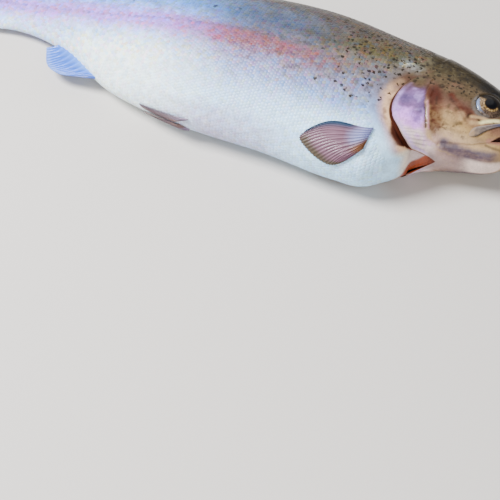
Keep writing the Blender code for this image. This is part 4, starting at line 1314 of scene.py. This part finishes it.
def scale_roots(random):
    """(along, angle) of every scale: rings a pitch apart, each with scales a pitch apart round the body,
    and every second ring turned by half a pitch. Bands of rings share a count, so their rows run
    straight."""
    rings = np.arange(SCALE_START, LAST_RING, SCALE_PITCH / BODY_LENGTH)
    roots = []
    for k, ring in enumerate(rings):
        middle = rings[min(k // SCALE_BAND * SCALE_BAND + SCALE_BAND // 2, len(rings) - 1)]
        count = int(round(surface_ring(middle)[0].sum() / SCALE_PITCH))
        lengths, turn = surface_ring(ring)
        reach = np.concatenate([[0], np.cumsum(lengths)]) / lengths.sum()
        share = (np.arange(count) + 0.5 * (k % 2)) / count
        roots.append(np.stack([np.full(count, ring), np.interp(share, reach, turn)], -1))
    roots = np.concatenate(roots)
    roots[:, 0] += random.uniform(-0.10, 0.10, len(roots)) * SCALE_PITCH / BODY_LENGTH
    return roots[roots[:, 0] > scale_start(roots[:, 1])]


def scale_dome():
    """The corners of one scale: an eight-sided border, a smaller ring and a top in the scale's own plane,
    the slope that lifts its free edge, and how far its border lies under its ring."""
    turn = np.arange(SCALE_SIDES) * 2 * math.pi / SCALE_SIDES
    ring = np.stack([0.5 * SCALE_LENGTH * np.cos(turn),
                     0.5 * SCALE_WIDTH * np.sin(turn) * (1 + 0.12 * np.cos(turn))], -1)
    flat = np.concatenate([ring, ring * SCALE_TOP, [[0.02 * SCALE_LENGTH, 0.0]]])
    slope = SCALE_ROOT + SCALE_RISE * flat[:, 0] / SCALE_LENGTH
    step = np.concatenate([np.full(SCALE_SIDES, SCALE_BORDER), np.zeros(SCALE_SIDES), [SCALE_TIP]])
    return flat, slope, step


def scale_faces():
    """Corner numbers of one scale's faces: four-sided round its border, three-sided over its top, and one
    underneath."""
    k = np.arange(SCALE_SIDES)
    after = (k + 1) % SCALE_SIDES
    sides = np.stack([k, after, after + SCALE_SIDES, k + SCALE_SIDES], -1)
    top = np.stack([k + SCALE_SIDES, after + SCALE_SIDES, np.full(SCALE_SIDES, 2 * SCALE_SIDES)], -1)
    return sides, top, k[None, ::-1]


def scale_sink(roots, degrees):
    """How deep a scale's middle lies: as deep as the ground under it, and deeper at both ends of the coat and
    on the belly. Also how far round on the belly it is, from 0 to 1."""
    front = rest(roots[:, 0] - scale_start(roots[:, 1]), 0.0, 0.030)
    ends = front + 1.05 * ease(roots[:, 0], 0.960, 0.996)
    belly = ease(degrees, 112, 140)
    return END_SINK * ends + BELLY_SINK * belly - COAT_DEPTH - ground_depth(roots[:, 0], roots[:, 1]), belly


def coat_pieces(finish):
    """Scales as small closed domes: an eight-sided border under a smaller raised ring with a top, longer
    than wide, deep at the root and raised at the free edge, so that each lies over the roots of the
    next."""
    random = np.random.default_rng(7)
    roots = scale_roots(random)
    along, angle = np.minimum(roots[:, 0], 1.0), roots[:, 1]
    outward, forward, around = directions(along, angle)
    centre = body_place(along, angle) - forward * ((roots[:, 0] - along) * BODY_LENGTH)[:, None]
    flat, slope, step = scale_dome()
    size = random.uniform(0.94, 1.06, len(roots))[:, None]
    degrees = gill_edge(angle)[1]
    sink, belly = scale_sink(roots, degrees)
    lift = (np.minimum(slope[None] * (1 - 0.45 * belly[:, None]) + step, SCALE_CEILING) - sink[:, None]
            + random.uniform(-SCALE_JITTER, SCALE_JITTER, len(roots))[:, None])
    a, b = flat[:, 0] * size, flat[:, 1] * size
    points = (centre[:, None] - a[..., None] * forward[:, None] + b[..., None] * around[:, None]
              + lift[..., None] * outward[:, None])
    points[..., 2] = np.maximum(points[..., 2], 0)

    up, side = section(along, angle)
    plain = 0.35 + 0.65 * ease(up, -0.105, -0.045)
    own = 1.0 + plain * random.uniform(-0.20, 0.16, len(roots))
    chances = [random.uniform(0, 1, len(roots)) for _ in TINTS_FROM]
    tint = np.stack([plain * ease(chance, low, 1.0) for chance, low in zip(chances, TINTS_FROM)], -1)

    def each(values):
        """One value for every scale, given to each of its points."""
        return np.broadcast_to(values[:, None], a.shape + values.shape[1:])

    fish = np.stack([roots[:, :1] + a / BODY_LENGTH, each(up), each(side)], -1)
    paint = head_paint(*np.moveaxis(fish, -1, 0), each(degrees), np.zeros(a.shape))
    reach = np.broadcast_to(flat[:, 0] / SCALE_LENGTH + 0.5, a.shape)
    marks = {"fish": fish, "own": each(own), "reach": reach, "tint": each(tint), "paint": paint}
    home = bake_place(roots[:, 0], angle)
    home[:, 0] %= 1.0
    patch = (flat / np.array([SCALE_LENGTH, SCALE_WIDTH]) * BAKE_PATCH)[:, ::-1]
    spread = np.clip(home[:, None] + patch, 0, 1)
    pieces = []
    for name, (start, end) in COAT_SPLITS.items():
        chosen = (roots[:, 0] >= start) & (roots[:, 0] < end)
        first = (np.arange(chosen.sum()) * len(flat))[:, None, None]
        faces = [(shape[None] + first).reshape(-1, shape.shape[1]) for shape in scale_faces()]
        uv = spread[chosen].reshape(-1, 2)
        bake = np.concatenate([uv[f.ravel()] for f in faces])
        own_marks = {mark: values[chosen] for mark, values in marks.items()}
        own_points = points[chosen].reshape(-1, 3)
        pieces.append(build(name, own_points, faces, finish, (), own_marks, bake))
    return pieces


# ---------------------------------------------------------------- eyes, plates of the jaw and tongue

SIDES = {1: "right", -1: "left"}
EYE_SHARE = 0.97            # the eyeball as a share of the solid's radius, so that it lies inside it
CORNEA_BULGE = 0.0003
FURROW_DEPTH = 0.0004
FURROW_HALF = 0.0008


def eye_piece(sign, finish):
    """An eyeball: rings from the outward pole to the back, flattened in depth, with a low clear bulge in
    front."""
    here, outward, forward, upward = eye_frame(sign)
    polar = np.linspace(0, math.pi, 49)[:, None]
    turn = np.linspace(0, 2 * math.pi, 97)[None, :]
    radius = EYE_SHARE * EYE_RADIUS * np.sin(polar)
    bulge = CORNEA_BULGE * np.exp(-(np.sin(polar) / 0.5)**2) * (np.cos(polar) > 0)
    eye = np.stack(np.broadcast_arrays(radius * np.cos(turn), radius * np.sin(turn),
                                       0.90 * EYE_HALF_DEPTH * np.cos(polar) + bulge), -1)
    points = here - EYE_SUNK * outward + eye @ np.array([forward, upward, outward])
    piece = build(f"eye_ball_{SIDES[sign]}", points.reshape(-1, 3), [quads(*eye.shape[:2])], finish,
                  [f"eye_{SIDES[sign]}"], {"eye": eye})
    close_mesh(piece)
    return piece


def round_ends(t, power):
    """1 along a strip and 0 at both its ends: the root of 1 less a power of the way from its middle."""
    return np.sqrt(np.clip(1 - np.abs(2 * t - 1)**power, 0, 1))


def maxilla_piece(sign, finish):
    """The plate over the corner of the mouth: a crowned strip about its bent line, thin at its edges."""
    t = np.linspace(0, 1, 61)[:, None]
    v = np.linspace(-1, 1, 25)[None, :]
    line = smooth_line(MAXILLA_LINE, t)
    half = smooth(list(zip(np.linspace(0, 1, len(MAXILLA_HALF)), MAXILLA_HALF)), t) * round_ends(t, 8)
    run = [np.gradient(part[:, 0], t[:, 0])[:, None] for part in line]
    size = np.hypot(*run)
    along = line[0] - run[1] / size * half * v
    up = line[1] + run[0] / size * half * v
    angle = sign * angle_of(along, up)
    crown = (1 - v**4) * (0.35 + 0.65 * np.exp(-((v - 0.35) / 0.45)**2)) * round_ends(t, 6)
    thick = 0.0001 + 0.55 * MAXILLA_THICK * crown * (1 - 0.6 * ease(t, 0.55, 1.0))
    points, faces = plate(surface(along, angle, GAP), surface(along, angle, GAP + thick))
    strip = np.stack(np.broadcast_arrays(t, v, 0 * v), -1)
    piece = build(f"jaw_plate_{SIDES[sign]}", points, [faces], finish, [f"maxilla_{SIDES[sign]}"],
                  {"strip": np.concatenate([strip, strip])})
    close_mesh(piece)
    return piece


def tongue_piece(finish):
    """A flat tongue: an ellipsoid with a shallow furrow along its top."""
    rear, front = [place(a, u, 0.0) for a, u in TONGUE_LINE]
    forward = (front - rear) / np.linalg.norm(front - rear)
    side = np.array([0.0, 0.0, 1.0])
    upward = np.cross(side, forward)
    polar = np.linspace(0, math.pi, 33)[:, None]
    turn = np.linspace(0, 2 * math.pi, 49)[None, :]
    z = TONGUE_HALF[2] * np.sin(polar) * np.cos(turn)
    furrow = FURROW_DEPTH * (np.sin(turn) > 0) * np.exp(-(z / FURROW_HALF)**2) * np.sin(polar)
    y = TONGUE_HALF[1] * np.sin(polar) * np.sin(turn) - furrow
    flesh = np.stack(np.broadcast_arrays(TONGUE_HALF[0] * np.cos(polar), y, z), -1)
    points = (rear + front) / 2 + flesh @ np.array([forward, upward, side])
    piece = build("tongue_flesh", points.reshape(-1, 3), [quads(*z.shape)], finish,
                  ["tongue"])
    close_mesh(piece)
    return piece


# ---------------------------------------------------------------- fins

# Linear colours of each kind of fin: its root on the leading and the trailing side, its web, its leading
# edge and its tip, and how strong its spots are.
FIN_LOOKS = {
    "pectoral_web": ((0.300, 0.320, 0.580), (0.250, 0.105, 0.045), (0.190, 0.096, 0.140),
                     (0.016, 0.044, 0.096), (0.060, 0.052, 0.020)),
    "pelvic_web": ((0.240, 0.180, 0.260), (0.240, 0.150, 0.140), (0.190, 0.130, 0.150), (0.110, 0.090, 0.120),
                   (0.260, 0.200, 0.190)),
    "anal_web": ((0.110, 0.300, 0.850), (0.070, 0.220, 0.800), (0.028, 0.150, 0.740), (0.030, 0.090, 0.420),
                 (0.120, 0.260, 0.800)),
    "dorsal_web": ((0.070, 0.068, 0.062), (0.080, 0.078, 0.075), (0.100, 0.098, 0.095), (0.040, 0.038, 0.038),
                   (0.130, 0.110, 0.100), 0.85),
    "tail_web": ((0.230, 0.270, 0.380), (0.230, 0.270, 0.380), (0.110, 0.118, 0.130), (0.075, 0.080, 0.090),
                 (0.070, 0.062, 0.060), 0.85)}
FOLDED_FINS = {"pectoral": (PECTORAL_RIGHT, PECTORAL_LEFT), "pelvic": (PELVIC_RIGHT, PELVIC_LEFT)}
RAY_COLUMNS = 10            # grid columns from one ray to the next
FIN_ROWS = 33
TAIL_ROWS = 45
ROOT_BURIED = 0.006
FIN_WELD = 1e-7


def fan(spec, down=FIN_ROWS):
    """A fin's grid: u across its rays and t from root to tip. Rays are ridges that fork towards the tip,
    webs between them are thinner, and the edge is a little nicked between the rays."""
    u = np.linspace(0, 1, RAY_COLUMNS * (spec["rays"] - 1) + 1)[:, None]
    t = np.linspace(0, 1, down)[None, :]
    beat = u * (spec["rays"] - 1) * 2 * math.pi
    single, double = 0.5 + 0.5 * np.cos(beat), 0.5 + 0.5 * np.cos(2 * beat)
    ridge = blend(single**2, double**2, ease(t, 0.40, 0.75))
    root, edge = spec["thick"]
    half = 0.5 * blend(root, edge, t**0.7) * (0.42 + 0.58 * ridge) * (1 - 0.25 * t**6)
    nick = 1 - t**3 * (0.010 + 0.012 * (1 - double))
    return u, t, t * nick, half, smooth_line(spec["tips"], u), ridge


def fin_piece(name, node, near_face, far_face, u, t, ridge, finish):
    """A closed fin from its two faces, marked with its own u, t and ray height."""
    points, faces = plate(near_face, far_face)
    fin = np.stack(np.broadcast_arrays(u, t, ridge), -1)
    piece = build(name, points, [faces], finish, [node], {"fin": np.concatenate([fin, fin])})
    close_mesh(piece, FIN_WELD)
    return piece


def upright_fin(name, node, spec, edge_line, sign, finish):
    """A fin standing on the body's edge in the midplane, its rays swept back, its root sunk in the skin."""
    u, t, reach, half, tip, ridge = fan(spec)
    root_along = blend(*spec["root"], u)
    root_up = sign * (smooth(edge_line, root_along) - ROOT_BURIED)
    along = blend(root_along, tip[0], reach) - spec["sweep"] * np.sin(math.pi * t)
    up = blend(root_up, tip[1], reach)
    faces = [place(along, up, side * half / BODY_LENGTH) for side in (1, -1)]
    return fin_piece(name, node, *faces, u, t, ridge, finish)


def tail_piece(finish):
    """The tail fan, sinking from the middle of the stalk to lie flat on the surface at its edge."""
    u, t, reach, half, tip, ridge = fan(TAIL, TAIL_ROWS)
    root_up = blend(*TAIL["root"], u)
    along = blend(1.0 + GAP / BODY_LENGTH, tip[0], reach)
    up = blend(root_up, tip[1], reach)
    middle = smooth(MID_HEIGHT, 1.0)
    thick = half / BODY_LENGTH
    height = thick + np.maximum(middle + LEAN * root_up - thick, 0) * (1 - t)**2
    side = height - middle - LEAN * up
    faces = [place(along, up, side + thick), place(along, up, side - thick)]
    return fin_piece("tail_web", "tail_fin", *faces, u, t, ridge, finish)


def folded_fin(name, node, spec, finish):
    """A fin folded back against the body: the ray grid laid on the surface, just off it, with its root
    sunk in, and lifted where it would go under the surface that the fish lies on."""
    u, t, reach, half, tip, ridge = fan(spec)
    (along_a, angle_a), (along_b, angle_b) = spec["root"]
    along = blend(blend(along_a, along_b, u), tip[0], reach)
    bow = spec["bow"] * (1 - u) * np.sin(math.pi * t**1.6)
    angle = np.radians(blend(blend(angle_a, angle_b, u), tip[1], reach) + bow)
    lift = 1.5 * GAP - 0.0012 * rest(t, 0.0, 0.12)
    faces = [surface(along, angle, lift), surface(along, angle, lift + 2 * half)]
    rise = np.maximum(-faces[1][..., 2], 0)
    for face in faces:
        face[..., 2] += rise
    return fin_piece(name, node, *faces, u, t, ridge, finish)


# ---------------------------------------------------------------- the stage

FLOOR_COLOUR = (0.60383, 0.57048, 0.53824, 1.0)
SKY_COLOUR = (0.86, 0.91, 1.0, 1.0)
SKY_STRENGTH = 0.22
# Lamps as name: (place from the fish's middle, diameter, power, colour).
LAMPS = {"key": ((-0.70, -0.30, 1.05), 0.6, 55.0, (0.98, 0.99, 1.0)),
         "fill": ((0.60, -0.80, 0.70), 0.9, 10.0, (1.0, 0.98, 0.95)),
         "rim": ((0.10, 0.95, 0.90), 1.2, 3.5, (1.0, 1.0, 1.0))}
LENS = 95.8                 # in millimetres, for a frame 36 mm wide
FRAME_WIDTH = 36.0
VIEW_AZIMUTH = math.radians(24.9)
VIEW_ELEVATION = math.radians(54.1)
VIEW_DISTANCE = 0.814
VIEW_TARGET = Vector((SNOUT_X - 0.137, MIDDLE_Y - 0.1137, 0.0))


def add_to_scene(name, data):
    """An object for a mesh, lamp or camera, linked to the scene."""
    thing = bpy.data.objects.new(name, data)
    bpy.context.scene.collection.objects.link(thing)
    return thing


def add_floor():
    """A plain pale square, three metres each way from the fish."""
    floor = bpy.data.meshes.new("floor")
    floor.from_pydata([(-3, -3, 0), (3, -3, 0), (3, 3, 0), (-3, 3, 0)], [], [(0, 1, 2, 3)])
    made, _, shader = new_material("pale_floor", Roughness=0.75)
    shader["Base Color"].default_value = FLOOR_COLOUR
    floor.materials.append(made)
    add_to_scene("floor", floor)


def add_lights():
    """A cool sky and round soft lamps that face the middle of the fish."""
    world = bpy.data.worlds.new("studio")
    world.use_nodes = True
    sky = world.node_tree.nodes["Background"].inputs
    sky["Color"].default_value = SKY_COLOUR
    sky["Strength"].default_value = SKY_STRENGTH
    bpy.context.scene.world = world
    middle = (cad_low + cad_high) / 2
    for name, (offset, diameter, power, colour) in LAMPS.items():
        lamp = bpy.data.lights.new(name, "AREA")
        lamp.shape = "DISK"
        lamp.size = diameter
        lamp.energy = power
        lamp.color = colour
        thing = add_to_scene(name, lamp)
        thing.location = middle + Vector(offset)
        thing.rotation_euler = (-Vector(offset)).to_track_quat("-Z", "Y").to_euler()


def add_camera():
    """The camera, at VIEW_DISTANCE from its target and turned to face it."""
    camera = bpy.data.cameras.new("camera")
    camera.lens = LENS
    camera.sensor_width = FRAME_WIDTH
    viewer = add_to_scene("camera", camera)
    flat = math.cos(VIEW_ELEVATION)
    back = Vector((math.sin(VIEW_AZIMUTH) * flat, -math.cos(VIEW_AZIMUTH) * flat, math.sin(VIEW_ELEVATION)))
    viewer.location = VIEW_TARGET + back * VIEW_DISTANCE
    viewer.rotation_mode = "QUATERNION"
    viewer.rotation_quaternion = (-back).to_track_quat("-Z", "Y")
    bpy.context.scene.camera = viewer


def main():
    """Every piece of the fish, then the stage."""
    markings = markings_group()
    skin_piece(skin_finish(markings))
    coat_pieces(scale_finish(markings))
    eye, jaw_plate = eye_finish(), plate_finish()
    for sign in SIDES:
        eye_piece(sign, eye)
        maxilla_piece(sign, jaw_plate)
    tongue_piece(tongue_finish())
    fins = {name: fin_finish(name, *looks) for name, looks in FIN_LOOKS.items()}
    upright_fin("dorsal_web", "dorsal_fin", DORSAL, BACK, 1, fins["dorsal_web"])
    upright_fin("adipose_flesh", "adipose_fin", ADIPOSE, BACK, 1, fins["dorsal_web"])
    upright_fin("anal_web", "anal_fin", ANAL, BELLY, -1, fins["anal_web"])
    tail_piece(fins["tail_web"])
    for kind, specs in FOLDED_FINS.items():
        for side, spec in zip(SIDES.values(), specs):
            folded_fin(f"{kind}_web_{side}", f"{kind}_fin_{side}", spec, fins[f"{kind}_web"])
    add_floor()
    add_lights()
    add_camera()


main()
